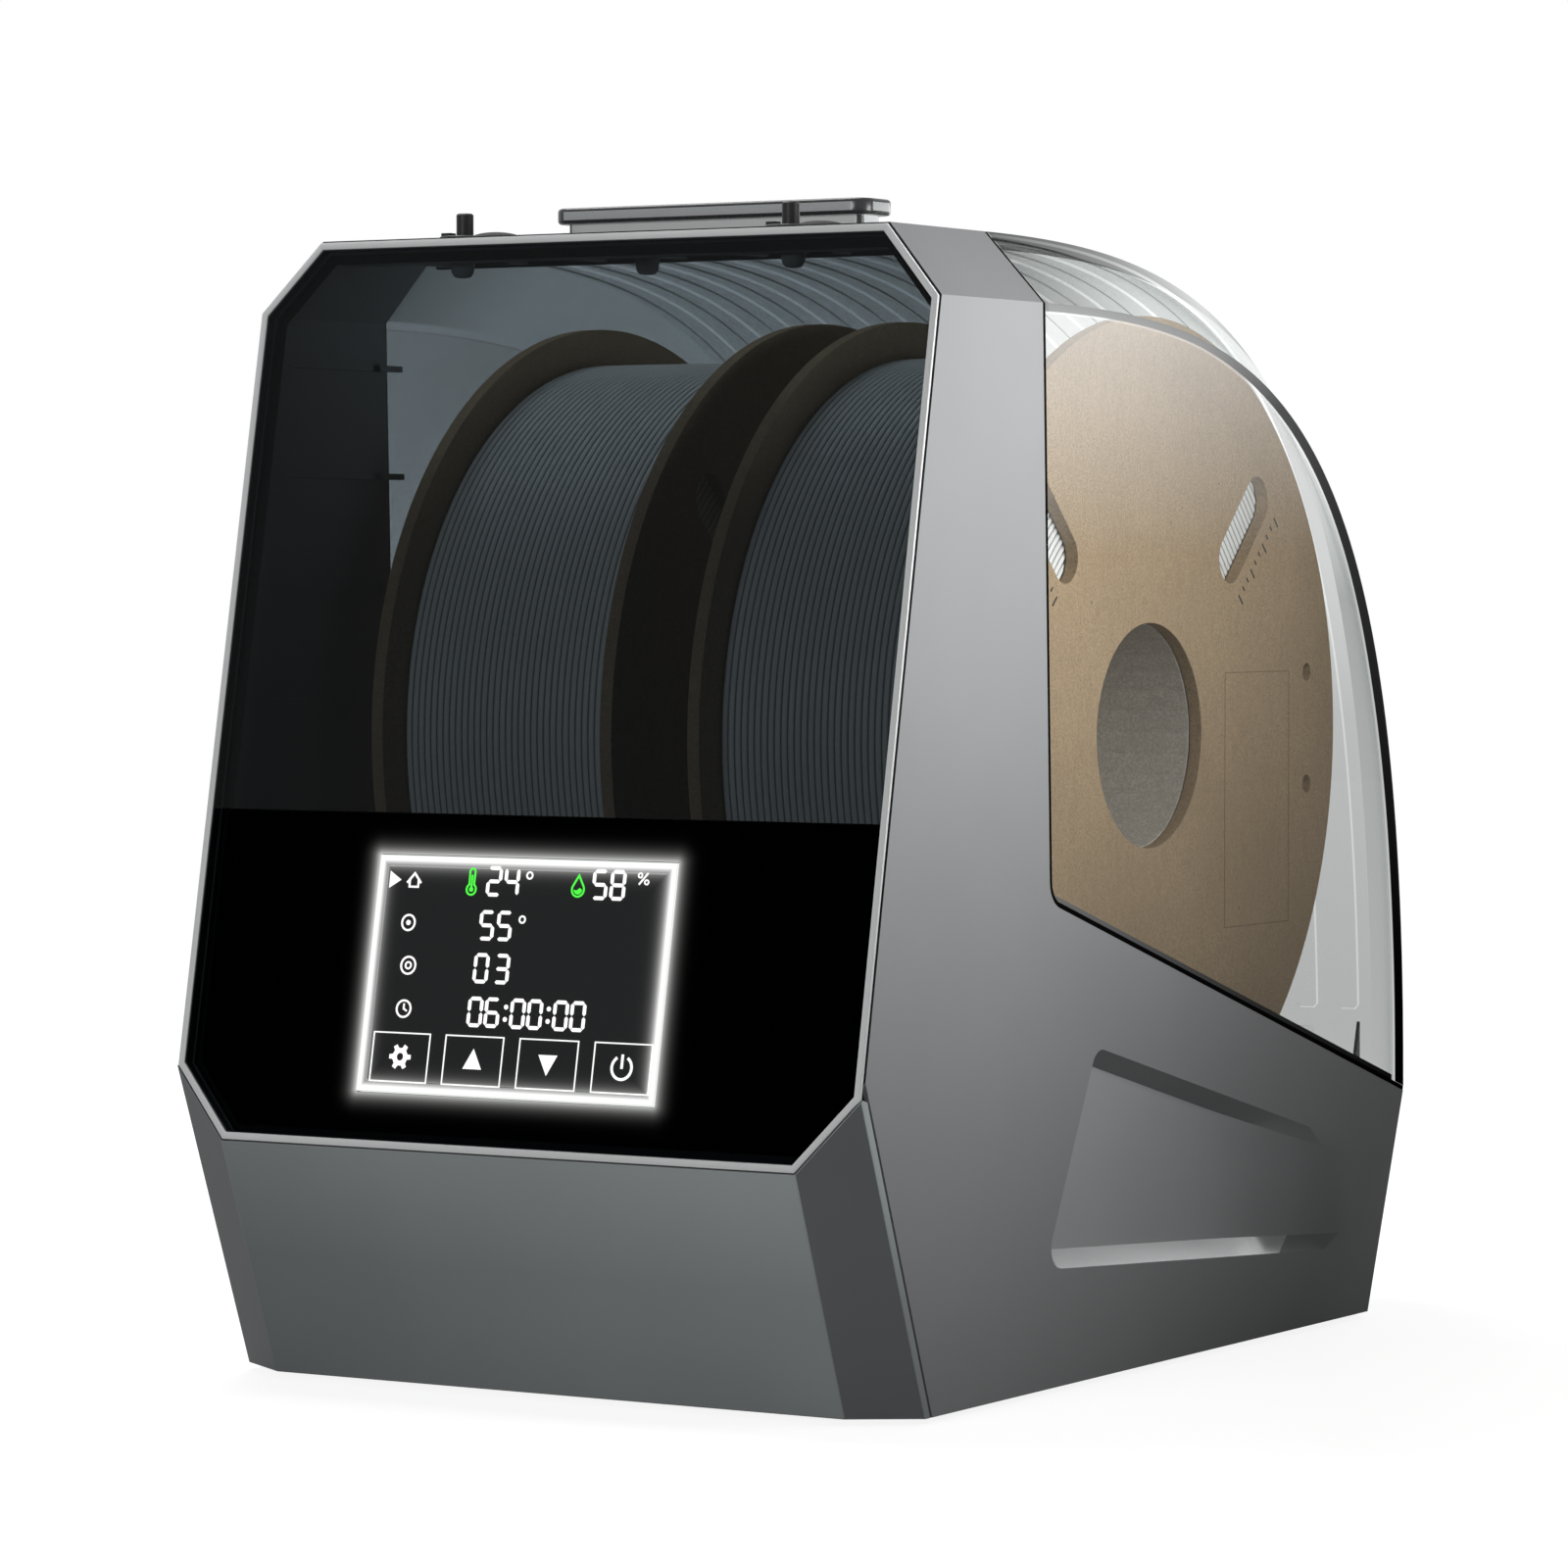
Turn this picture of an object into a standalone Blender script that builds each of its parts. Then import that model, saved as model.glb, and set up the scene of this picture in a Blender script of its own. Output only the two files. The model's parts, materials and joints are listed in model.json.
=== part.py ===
"""Two-spool filament dryer box, modelled as an assembly of separate pieces.

The pieces are built in the body's own frame: x across, y back from the chin's front edge, z up
from under the base plate. The empty dryer_frame then puts the origin on the floor, under the
middle of the object's box.
"""
import math

import bmesh
import bpy

MM = 0.001
FLAT_ANGLE = math.radians(0.01)
SHARP_ANGLE = math.radians(35.0)
PARALLEL = 1e-4

# Spools, and the room that the body leaves around them
SPOOL_RADIUS = 100.0 * MM
SPOOL_WIDTH = 68.0 * MM
SPOOL_SPACING = 20.7 * MM
SPOOL_LIFT = 5.1 * MM
FRONT_ROOM = 62.4 * MM
REAR_ROOM = 26.6 * MM
HEAD_ROOM = 16.4 * MM
SIDE_ROOM = 13.4 * MM
FLANGE_BOARD = 3.3 * MM
CORE_BORE_RADIUS = 26.9 * MM
CORE_WALL = 2.6 * MM
WINDING_BELOW_RIM = 9.0 * MM
FLANGE_SLOT_START = 53.9 * MM
FLANGE_SLOT_END = 86.0 * MM
FLANGE_SLOT_WIDTH = 12.0 * MM
FLANGE_SLOT_ROUNDING = 5.9 * MM
FLANGE_SLOT_ANGLES = (math.radians(45.0), math.radians(135.0))
SPOOL_SIDES = 48
CORE_SIDES = 32

# Body outline
CHIN_HEIGHT = 55.8 * MM
CHIN_TUCK = 21.1 * MM
CHIN_CORNER_TUCK = 9.8 * MM
FRONT_LEAN = math.radians(10.92)
CORNER_CUT = 15.0 * MM
CORNER_DROP = 16.5 * MM
CORNER_BACK = 12.9 * MM
REAR_SLOPE = 0.375
TOP_FLAT_END = 84.3 * MM
CREST_TOP_REACH = 118.3 * MM
CREST_REAR_REACH = 194.0 * MM
SIDE_TOP_REACH = 110.7 * MM
SIDE_REAR_REACH = 175.7 * MM
CURVE_STEPS = 12

# Walls, gaps and seams
SHELL_WALL = 2.6 * MM
COVER_WALL = 2.5 * MM
CHIN_WALL = 2.6 * MM
FIT_GAP = 0.3 * MM
GROOVE = 0.5 * MM
SEAM_GAP = 1.2 * MM
SEAM_TOP_Y = 84.35 * MM
SEAM_CORNER_Y = 88.6 * MM
SEAM_CORNER_Z = 111.4 * MM
SEAM_CORNER_RADIUS = 6.0 * MM
SEAM_SLOPE = 0.3013

# Front bezel, window and display, measured back from the front plane
BEZEL_FACE = 2.0 * MM
BEZEL_EDGE = 0.6 * MM
BEZEL_DEPTH = 4.4 * MM
BEZEL_LEDGE = 4.0 * MM
BEZEL_LEDGE_THICKNESS = 1.2 * MM
SHELL_LIP = 0.9 * MM
FLANGE_THICKNESS = 2.5 * MM
FLANGE_WIDTH = 4.6 * MM
WINDOW_SINK = 0.4 * MM
DISPLAY_WIDTH = 80.2 * MM
DISPLAY_TALL = 54.3 * MM
DISPLAY_BASE = 13.4 * MM
DISPLAY_X = -2.9 * MM
MASK_ABOVE = 9.8 * MM
LIGHT_GUIDE_WIDTH = 2.4 * MM
DISPLAY_THICKNESS = 2.4 * MM
BOARD_THICKNESS = 1.6 * MM
BOARD_CLEAR = 1.0 * MM
HOUSING_DEPTH = 16.0 * MM
HOUSING_WALL = 2.0 * MM
HOUSING_LAP = 1.0 * MM
DRIVER_CHIP = (14.0 * MM, 14.0 * MM, 2.0 * MM)
DRIVER_CHIP_PLACE = (-18.0 * MM, 6.0 * MM)
RIBBON_SOCKET = (20.0 * MM, 6.0 * MM, 5.0 * MM)
RIBBON_SOCKET_PLACE = (18.0 * MM, -16.0 * MM)

# Grip recess in each side, as (y, z) corners
RECESS_DEPTH = 5.0 * MM
RECESS_TOP_FRONT = (110.6 * MM, 76.6 * MM)
RECESS_LOW_FRONT = (86.0 * MM, 27.5 * MM)
RECESS_LOW_REAR = (252.0 * MM, 16.6 * MM)
RECESS_TOP_REAR = (252.0 * MM, 41.9 * MM)
RECESS_CORNER = 5.0 * MM
RECESS_FRONT_RUN = 3.0 * MM
RECESS_TOP_RUN = 3.5 * MM
RECESS_LOW_RUN = 4.0 * MM
RECESS_FADE_START = 172.0 * MM
RECESS_FADE_END = 247.0 * MM
RECESS_FADE_STEPS = 9
RECESS_FADE_OVER = 0.05 * MM
RECESS_BACKING = 2.0 * MM

# Base plate, feet and screws
PLATE_THICKNESS = 2.5 * MM
FOOT_RADIUS = 7.0 * MM
FOOT_PROUD = 1.5 * MM
FOOT_SEAT = 1.0 * MM
FOOT_EDGE = 0.6 * MM
FOOT_IN_X = 22.0 * MM
FOOT_IN_FRONT = 52.0 * MM
FOOT_IN_REAR = 40.0 * MM
SCREW_OFFSET = 16.0 * MM
SCREW_HEAD_RADIUS = 3.2 * MM
SCREW_HEAD = 1.4 * MM
SCREW_RADIUS = 1.4 * MM
SCREW_LENGTH = 9.0 * MM
SCREW_SIDES = 12
SCREW_EDGE = 0.3 * MM
SCREW_SINK = 0.1 * MM

# Rollers, axles and cradles
ROLLER_RADIUS = 8.0 * MM
ROLLER_ANGLE = math.radians(35.0)
ROLLER_SHOULDER = 1.3 * MM
ROLLER_SHOULDER_RISE = 1.8 * MM
ROLLER_SIDE_GAP = 0.5 * MM
AXLE_RADIUS = 2.0 * MM
AXLE_SHORT = 0.2 * MM
CRADLE_WALL = 2.4 * MM
CRADLE_PLATE = 2.0 * MM
CRADLE_AXLE_COVER = 4.0 * MM
CRADLE_RAIL = 18.0 * MM

# Chamber floor and the air path under it
FLOOR_Z = 39.0 * MM
FLOOR_THICKNESS = 3.0 * MM
FLOOR_FRONT = 34.0 * MM
FAN_SIZE = 60.0 * MM
FAN_DEPTH = 14.0 * MM
FAN_WALL = 2.0 * MM
FAN_TIP_GAP = 1.0 * MM
FAN_HUB_RADIUS = 12.0 * MM
FAN_BLADES = 7
FAN_BLADE_THICKNESS = 1.4 * MM
FAN_BLADE_PITCH = math.radians(40.0)
FAN_BLADE_ROOT = 3.6 * MM
FAN_STRUT = 3.0 * MM
FAN_BASE = 2.4 * MM
DUCT_WALL = 2.0 * MM
HEATER_HEIGHT = 12.0 * MM
HEATER_SLOTS = 6
HEATER_SLOT_WIDTH = 4.5 * MM
HEATER_RIM = 4.0 * MM
AIR_SLOTS = 7
AIR_SLOT_WIDTH = 3.2 * MM
AIR_SLOT_LENGTH = 46.0 * MM
AIR_SLOT_PITCH = 7.0 * MM

# Electronics in the base
BOARD_HEIGHT = 4.0 * MM
BOARD_POST_RADIUS = 3.0 * MM
BOARD_POST_EDGE = 1.0 * MM
BOARD_IN_REAR = 91.0 * MM
BOARD_BESIDE_FAN = 5.0 * MM
SUPPLY_LENGTH = 84.0 * MM
SUPPLY_WIDTH = 46.0 * MM
CONTROL_LENGTH = 70.0 * MM
CONTROL_WIDTH = 44.0 * MM

# Tall components on the boards: width, length and height, then their place from the board's middle
TRANSFORMER = (24.0 * MM, 26.0 * MM, 20.0 * MM)
TRANSFORMER_PLACE = (-4.0 * MM, 4.0 * MM)
CAPACITOR = (16.0 * MM, 16.0 * MM, 18.0 * MM)
CAPACITOR_PLACE = (6.0 * MM, -24.0 * MM)
HEAT_SINK = (5.0 * MM, 22.0 * MM, 16.0 * MM)
HEAT_SINK_PLACE = (12.0 * MM, 28.0 * MM)
TERMINALS = (16.0 * MM, 9.0 * MM, 9.0 * MM)
TERMINALS_PLACE = (-10.0 * MM, 33.0 * MM)
CONTROLLER = (12.0 * MM, 12.0 * MM, 2.0 * MM)
CONTROLLER_PLACE = (-4.0 * MM, 4.0 * MM)
RELAY = (14.0 * MM, 18.0 * MM, 14.0 * MM)
RELAY_PLACE = (8.0 * MM, -20.0 * MM)
SOCKETS = (30.0 * MM, 6.0 * MM, 7.0 * MM)
SOCKETS_PLACE = (0.0, 28.0 * MM)

# Mains inlet in the rear wall
INLET_FLANGE_WIDTH = 31.0 * MM
INLET_FLANGE_TALL = 24.0 * MM
INLET_FLANGE = 2.0 * MM
INLET_BODY_WIDTH = 27.0 * MM
INLET_BODY_TALL = 19.6 * MM
INLET_DEPTH = 21.0 * MM
INLET_SOCKET_WIDTH = 24.2 * MM
INLET_SOCKET_TALL = 16.4 * MM
INLET_SOCKET_DEPTH = 17.0 * MM
INLET_PIN_WIDTH = 2.0 * MM
INLET_PIN_TALL = 4.0 * MM
INLET_PIN_LENGTH = 11.0 * MM
INLET_PIN_SPREAD = 7.0 * MM
INLET_PIN_RAISE = 2.0 * MM
INLET_Z = 23.0 * MM

# Cover hinge
HINGE_STANDOFF = 4.6 * MM
KNUCKLE_RADIUS = 3.4 * MM
PIN_RADIUS = 1.4 * MM
HINGE_IN_FROM_SIDE = 39.75 * MM
HINGE_WIDTH = 42.0 * MM
KNUCKLE_SHARE = 14.0 * MM
LEAF_THICKNESS = 2.0 * MM
LEAF_TALL = 15.0 * MM
LEAF_START = 2.5 * MM
PIN_END = 1.0 * MM
PIN_TIP = 0.4 * MM

# Cover handle
HANDLE_WIDTH = 86.8 * MM
HANDLE_LENGTH = 15.0 * MM
HANDLE_PLATE = 3.8 * MM
HANDLE_RISE = 5.3 * MM
HANDLE_OVERHANG = 2.8 * MM
HANDLE_CORNER = 4.5 * MM
HANDLE_SETBACK = 3.0 * MM

# Filament outlets and plugs in the top arch
OUTLET_Y = 52.5 * MM
OUTLET_RADIUS = 2.0 * MM
OUTLET_BORE_RADIUS = 1.1 * MM
OUTLET_RISE = 6.1 * MM
OUTLET_REACH_DOWN = 5.0 * MM
OUTLET_COLLAR_RADIUS = 5.9 * MM
OUTLET_COLLAR = 1.2 * MM
PLUG_Y = 65.5 * MM
PLUG_RADIUS = 6.2 * MM
PLUG_RISE = 2.6 * MM
PLUG_STEM_RADIUS = 3.0 * MM
PLUG_REACH_DOWN = 6.0 * MM
PLUG_TIP = 0.8 * MM
PLUG_TIP_LENGTH = 1.2 * MM
PLUG_RIM_SHARE = 0.3
PLUG_DOME_STEPS = 4
PLUG_DOME_ANGLE = math.radians(66.0)

# Humidity sensor on the back of the display housing
SENSOR_WIDTH = 24.0 * MM
SENSOR_TALL = 14.0 * MM
SENSOR_DEPTH = 6.0 * MM
SENSOR_SLOTS = 4
SENSOR_SLOT_WIDTH = 2.0 * MM
SENSOR_SLOT_PITCH = 4.5 * MM
SENSOR_RIM = 3.0 * MM
SENSOR_RAISE = 52.0 * MM

# Worked out from the sizes above
FLOOR_TOP = FLOOR_Z + FLOOR_THICKNESS
SPOOL_CENTRE_X = (SPOOL_SPACING + SPOOL_WIDTH) / 2
WINDING_RADIUS = SPOOL_RADIUS - WINDING_BELOW_RIM
SPOOL_Y = FRONT_ROOM + SPOOL_RADIUS
SPOOL_Z = FLOOR_TOP + SPOOL_LIFT + SPOOL_RADIUS
AIR_Y = SPOOL_Y
BODY_WIDTH = SPOOL_SPACING + 2 * (SPOOL_WIDTH + SIDE_ROOM)
BODY_HEIGHT = SPOOL_Z + SPOOL_RADIUS + HEAD_ROOM
BODY_LENGTH = SPOOL_Y + SPOOL_RADIUS + REAR_ROOM
DISPLAY_CENTRE = DISPLAY_BASE + DISPLAY_TALL / 2
MASK_TOP = DISPLAY_BASE + DISPLAY_TALL + MASK_ABOVE
HALF_WIDTH = BODY_WIDTH / 2
HINGE_X = HALF_WIDTH - HINGE_IN_FROM_SIDE
OUTLET_X = SPOOL_CENTRE_X
BEVEL_SHARE = math.tan(math.radians(22.5))
FRONT_TAN = math.tan(FRONT_LEAN)
SLOPE_LENGTH = (BODY_HEIGHT - CHIN_HEIGHT) / math.cos(FRONT_LEAN)
SLOPE_CORNER = CORNER_DROP / math.cos(FRONT_LEAN)
HINGE_Y = BODY_LENGTH + HINGE_STANDOFF
REACH_BACK = HINGE_Y + KNUCKLE_RADIUS
WINDOW_BACK = BEZEL_DEPTH - BEZEL_LEDGE_THICKNESS - FIT_GAP
FLANGE_BACK = BEZEL_DEPTH + FIT_GAP + FLANGE_THICKNESS
OUTSIDE = 10.0 * MM


def seam_height(y):
    """Height of the seam between base and cover, where it runs down to the rear."""
    return SEAM_CORNER_Z - SEAM_SLOPE * (y - SEAM_CORNER_Y)


HINGE_Z = seam_height(BODY_LENGTH)


# General shapes

def clear_scene():
    for old in list(bpy.data.objects):
        bpy.data.objects.remove(old, do_unlink=True)


def mesh_object(name, points, faces):
    """A closed mesh with its faces turned outwards."""
    mesh = bpy.data.meshes.new(name)
    mesh.from_pydata(points, [], faces)
    work = bmesh.new()
    work.from_mesh(mesh)
    bmesh.ops.recalc_face_normals(work, faces=work.faces)
    bmesh.ops.connect_verts_nonplanar(work, angle_limit=FLAT_ANGLE, faces=work.faces)
    work.to_mesh(mesh)
    work.free()
    piece = bpy.data.objects.new(name, mesh)
    bpy.context.collection.objects.link(piece)
    return piece


def stack(name, loops, ring=False):
    """Joins loops of equal length into a skin, capped at both ends or closed into a ring."""
    count = len(loops[0])
    points = [point for loop in loops for point in loop]
    faces = []
    spans = len(loops) if ring else len(loops) - 1
    for level in range(spans):
        low = level * count
        high = (level + 1) % len(loops) * count
        for step in range(count):
            after = (step + 1) % count
            faces.append((low + step, low + after, high + after, high + step))
    if not ring:
        faces.append(tuple(range(count)))
        faces.append(tuple(range((len(loops) - 1) * count, len(loops) * count)))
    return mesh_object(name, points, faces)


def hull(name, points):
    """The smallest convex solid around some points."""
    mesh = bpy.data.meshes.new(name)
    work = bmesh.new()
    corners = [work.verts.new(point) for point in points]
    shape = bmesh.ops.convex_hull(work, input=corners)
    inside = [item for item in shape['geom_interior'] if isinstance(item, bmesh.types.BMVert)]
    bmesh.ops.delete(work, geom=inside, context='VERTS')
    bmesh.ops.recalc_face_normals(work, faces=work.faces)
    work.to_mesh(mesh)
    work.free()
    piece = bpy.data.objects.new(name, mesh)
    bpy.context.collection.objects.link(piece)
    return piece


def prism(name, outline, low, high, axis):
    """A flat outline pushed out along X, Y or Z. The outline holds the other two axes in order."""
    def lift(pair, level):
        if axis == 'X':
            return (level, pair[0], pair[1])
        if axis == 'Y':
            return (pair[0], level, pair[1])
        return (pair[0], pair[1], level)
    return stack(name, [[lift(pair, level) for pair in outline] for level in (low, high)])


def block(name, low, high):
    outline = [(low[0], low[1]), (high[0], low[1]), (high[0], high[1]), (low[0], high[1])]
    return prism(name, outline, low[2], high[2], 'Z')


def turned(name, profile, axis, sides, ring=False):
    """Turns (radius, height) points about the X or Z axis."""
    loops = []
    for radius, height in profile:
        loop = []
        for step in range(sides):
            angle = math.tau * step / sides
            across = radius * math.cos(angle)
            along = radius * math.sin(angle)
            loop.append((height, across, along) if axis == 'X' else (across, along, height))
        loops.append(loop)
    return stack(name, loops, ring)


def disc(name, radius, low, high, axis='Z', sides=20):
    return turned(name, [(radius, low), (radius, high)], axis, sides)


def combine(target, tool, operation):
    """Cuts the tool out of the target, joins it on or keeps what both share."""
    modifier = target.modifiers.new(operation, 'BOOLEAN')
    modifier.operation = operation
    modifier.solver = 'EXACT'
    modifier.object = tool
    graph = bpy.context.evaluated_depsgraph_get()
    result = bpy.data.meshes.new_from_object(target.evaluated_get(graph))
    target.modifiers.clear()
    target.data = result
    bpy.data.objects.remove(tool, do_unlink=True)
    return target


def gather(tools):
    """Puts shapes that don't touch each other into one object, so that they act at once."""
    work = bmesh.new()
    for tool in tools:
        work.from_mesh(tool.data)
    work.to_mesh(tools[0].data)
    work.free()
    for tool in tools[1:]:
        bpy.data.objects.remove(tool, do_unlink=True)
    return tools[0]


def cut(target, *tools):
    return combine(target, gather(tools), 'DIFFERENCE')


def join(target, tool):
    return combine(target, tool, 'UNION')


def keep(target, tool):
    return combine(target, tool, 'INTERSECT')


def move(piece, x, y, z):
    """Shifts a shape inside its own mesh."""
    for vertex in piece.data.vertices:
        vertex.co.x += x
        vertex.co.y += y
        vertex.co.z += z
    return piece


def inset(points, distances):
    """Moves each edge of a clockwise outline inwards by its own distance."""
    count = len(points)
    edges = []
    for step in range(count):
        start = points[step]
        end = points[(step + 1) % count]
        length = math.hypot(end[0] - start[0], end[1] - start[1])
        along = ((end[0] - start[0]) / length, (end[1] - start[1]) / length)
        inward = (along[1], -along[0])
        shift = distances[step]
        edges.append(((start[0] + inward[0] * shift, start[1] + inward[1] * shift), along))
    moved = []
    for step in range(count):
        (first, before), (second, after) = edges[step - 1], edges[step]
        cross = before[0] * after[1] - before[1] * after[0]
        if abs(cross) < PARALLEL:
            moved.append(second)
            continue
        reach = ((second[0] - first[0]) * after[1] - (second[1] - first[1]) * after[0]) / cross
        moved.append((first[0] + before[0] * reach, first[1] + before[1] * reach))
    return moved


def rounded(points, corner, radius, steps=6):
    """Replaces one corner of an outline by an arc."""
    here = points[corner]
    arms = []
    for other in (points[corner - 1], points[(corner + 1) % len(points)]):
        length = math.hypot(other[0] - here[0], other[1] - here[1])
        arms.append(((other[0] - here[0]) / length, (other[1] - here[1]) / length))
    half = math.acos(arms[0][0] * arms[1][0] + arms[0][1] * arms[1][1]) / 2
    middle = (arms[0][0] + arms[1][0], arms[0][1] + arms[1][1])
    size = math.hypot(*middle)
    reach = radius / math.sin(half)
    centre = (here[0] + middle[0] / size * reach, here[1] + middle[1] / size * reach)
    ends = []
    for arm in arms:
        touch = (here[0] + arm[0] * radius / math.tan(half), here[1] + arm[1] * radius / math.tan(half))
        ends.append(math.atan2(touch[1] - centre[1], touch[0] - centre[0]))
    turn = (ends[1] - ends[0] + math.pi) % math.tau - math.pi
    arc = []
    for step in range(steps + 1):
        angle = ends[0] + turn * step / steps
        arc.append((centre[0] + radius * math.cos(angle), centre[1] + radius * math.sin(angle)))
    return points[:corner] + arc + points[corner + 1:]


def rounded_rectangle(width, length, radius, steps=4):
    points = [(-width / 2, -length / 2), (-width / 2, length / 2), (width / 2, length / 2),
              (width / 2, -length / 2)]
    for corner in (3, 2, 1, 0):
        points = rounded(points, corner, radius, steps)
    return points


# The body's outline

def curve_points(start, start_reach, end, end_reach):
    """The cover's sweep, from level at the top to upright at the rear."""
    first = (start[0] + start_reach, start[1])
    last = (end[0], end[1] + end_reach)
    points = []
    for step in range(CURVE_STEPS + 1):
        t = step / CURVE_STEPS
        weights = ((1 - t) ** 3, 3 * t * (1 - t) ** 2, 3 * t * t * (1 - t), t ** 3)
        points.append(tuple(sum(weight * point[axis] for weight, point
                                in zip(weights, (start, first, last, end))) for axis in (0, 1)))
    return points


def front_point(z):
    return ((z - CHIN_HEIGHT) * FRONT_TAN, z)


def body_profile(side):
    """Clockwise (y, z) outline of the body, along its crest or along its side."""
    drop = CORNER_DROP if side else 0.0
    rear = BODY_LENGTH - (CORNER_BACK if side else 0.0)
    top = BODY_HEIGHT - drop
    low_front = CHIN_TUCK + (CHIN_CORNER_TUCK if side else 0.0)
    rear_top = seam_height(rear)
    curve = curve_points((TOP_FLAT_END, top), SIDE_TOP_REACH if side else CREST_TOP_REACH,
                         (rear, rear_top), SIDE_REAR_REACH if side else CREST_REAR_REACH)
    ends = [(low_front, 0.0), front_point(CHIN_HEIGHT + drop), front_point(top)]
    return ends + curve + [(rear - REAR_SLOPE * rear_top, 0.0)]


def body_form(name, skin=0.0, chin=0.0, front=0.0, bottom=0.0):
    """The whole body as one solid, with its walls moved in: sides, top and rear by skin."""
    loops = []
    for side in (True, False):
        share = BEVEL_SHARE if side else 1.0
        profile = body_profile(side)
        around = [skin * share] * (len(profile) - 3)
        loop = inset(profile, [chin, front] + around + [bottom])
        x = HALF_WIDTH - skin if side else HALF_WIDTH - CORNER_CUT - skin * BEVEL_SHARE
        loops.append((x, loop))
    sections = [(-loops[0][0], loops[0][1]), (-loops[1][0], loops[1][1]), loops[1], loops[0]]
    return stack(name, [[(x, y, z) for y, z in loop] for x, loop in sections])


def cover_region(name, shift):
    """Everything behind and above the seam, with the seam moved towards the cover by shift."""
    far = BODY_LENGTH + OUTSIDE
    above = BODY_HEIGHT + OUTSIDE
    lean = (SEAM_CORNER_Y - SEAM_TOP_Y) / (BODY_HEIGHT - SEAM_CORNER_Z)
    points = [(far, seam_height(far)), (SEAM_CORNER_Y, SEAM_CORNER_Z), (SEAM_TOP_Y - lean * OUTSIDE, above),
              (far, above)]
    points = inset(points, [shift, shift, 0.0, 0.0])
    points = rounded(points, 1, SEAM_CORNER_RADIUS - shift)
    return prism(name, points, -BODY_WIDTH, BODY_WIDTH, 'X')


def slab(name, low, high):
    """A level slice through the whole body."""
    return block(name, (-BODY_WIDTH, -OUTSIDE, low), (BODY_WIDTH, BODY_LENGTH + OUTSIDE, high))


# The front plane: x across, s up the slope from the chin, depth behind the plane

def front_outline(margin, top=None):
    """The eight-sided front, or its lower part up to a height, moved in by a margin."""
    wide = HALF_WIDTH
    narrow = HALF_WIDTH - CORNER_CUT
    upper = SLOPE_LENGTH if top is None else top
    points = [(-narrow, 0.0), (-wide, SLOPE_CORNER)]
    if top is None:
        shoulder = upper - SLOPE_CORNER
        points += [(-wide, shoulder), (-narrow, upper), (narrow, upper), (wide, shoulder)]
    else:
        points += [(-wide, upper), (wide, upper)]
    points += [(wide, SLOPE_CORNER), (narrow, 0.0)]
    margins = [margin] * len(points)
    if top is not None:
        margins[2] = 0.0
    return inset(points, margins)


def front_plate(name, outline, near, far):
    return prism(name, outline, -far, -near, 'Z')


def front_block(name, width, low, high, near, far):
    return block(name, (-width / 2, low, -far), (width / 2, high, -near))


def from_front_plane(piece):
    """Turns a shape built on the front plane into the body's frame."""
    sine = math.sin(FRONT_LEAN)
    cosine = math.cos(FRONT_LEAN)
    for vertex in piece.data.vertices:
        s = vertex.co.y
        out = vertex.co.z
        vertex.co.y = s * sine - out * cosine
        vertex.co.z = CHIN_HEIGHT + s * cosine + out * sine
    return piece


# Materials and placing

def material(name, colour, roughness, metallic=0.0, alpha=1.0):
    made = bpy.data.materials.new(name)
    made.use_nodes = True
    shader = made.node_tree.nodes['Principled BSDF']
    shader.inputs['Base Color'].default_value = (*colour, 1.0)
    shader.inputs['Roughness'].default_value = roughness
    shader.inputs['Metallic'].default_value = metallic
    shader.inputs['Alpha'].default_value = alpha
    return made


def empty(name, place, parent=None):
    point = bpy.data.objects.new(name, None)
    bpy.context.collection.objects.link(point)
    point.location = place
    point.parent = parent
    return point


def finish(piece, parent, surface, place=(0.0, 0.0, 0.0), smooth=False):
    """Gives a piece its material, shading, parent and place."""
    piece.data.materials.clear()
    piece.data.materials.append(surface)
    if smooth:
        piece.data.shade_smooth()
        piece.data.set_sharp_from_angle(angle=SHARP_ANGLE)
    piece.parent = parent
    piece.location = place
    return piece


def side_name(sign):
    return 'right' if sign > 0 else 'left'


# Casing

def recess_outline(grow):
    """(y, z) rim of the grip recess, with its two front corners rounded."""
    rim = inset([RECESS_LOW_FRONT, RECESS_TOP_FRONT, RECESS_TOP_REAR, RECESS_LOW_REAR], [-grow] * 4)
    for corner in (1, 0):
        rim = rounded(rim, corner, RECESS_CORNER + grow)
    return rim


def recess_form(name, sign, extra, reach_out):
    """The grip recess at full depth as a solid, grown by extra and reaching out by some length."""
    rim = recess_outline(extra)
    bed = recess_outline(extra - RECESS_FRONT_RUN)
    rim_x = HALF_WIDTH - SHELL_WALL / 2
    bed_x = HALF_WIDTH - RECESS_DEPTH - extra
    points = [(sign * x, y, z) for x in (rim_x, rim_x + reach_out) for y, z in rim]
    points += [(sign * bed_x, y, z) for y, z in bed]
    return hull(name, sorted(set(points)))


def line_height(start, end, y):
    return start[1] + (end[1] - start[1]) * (y - start[0]) / (end[0] - start[0])


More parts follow.
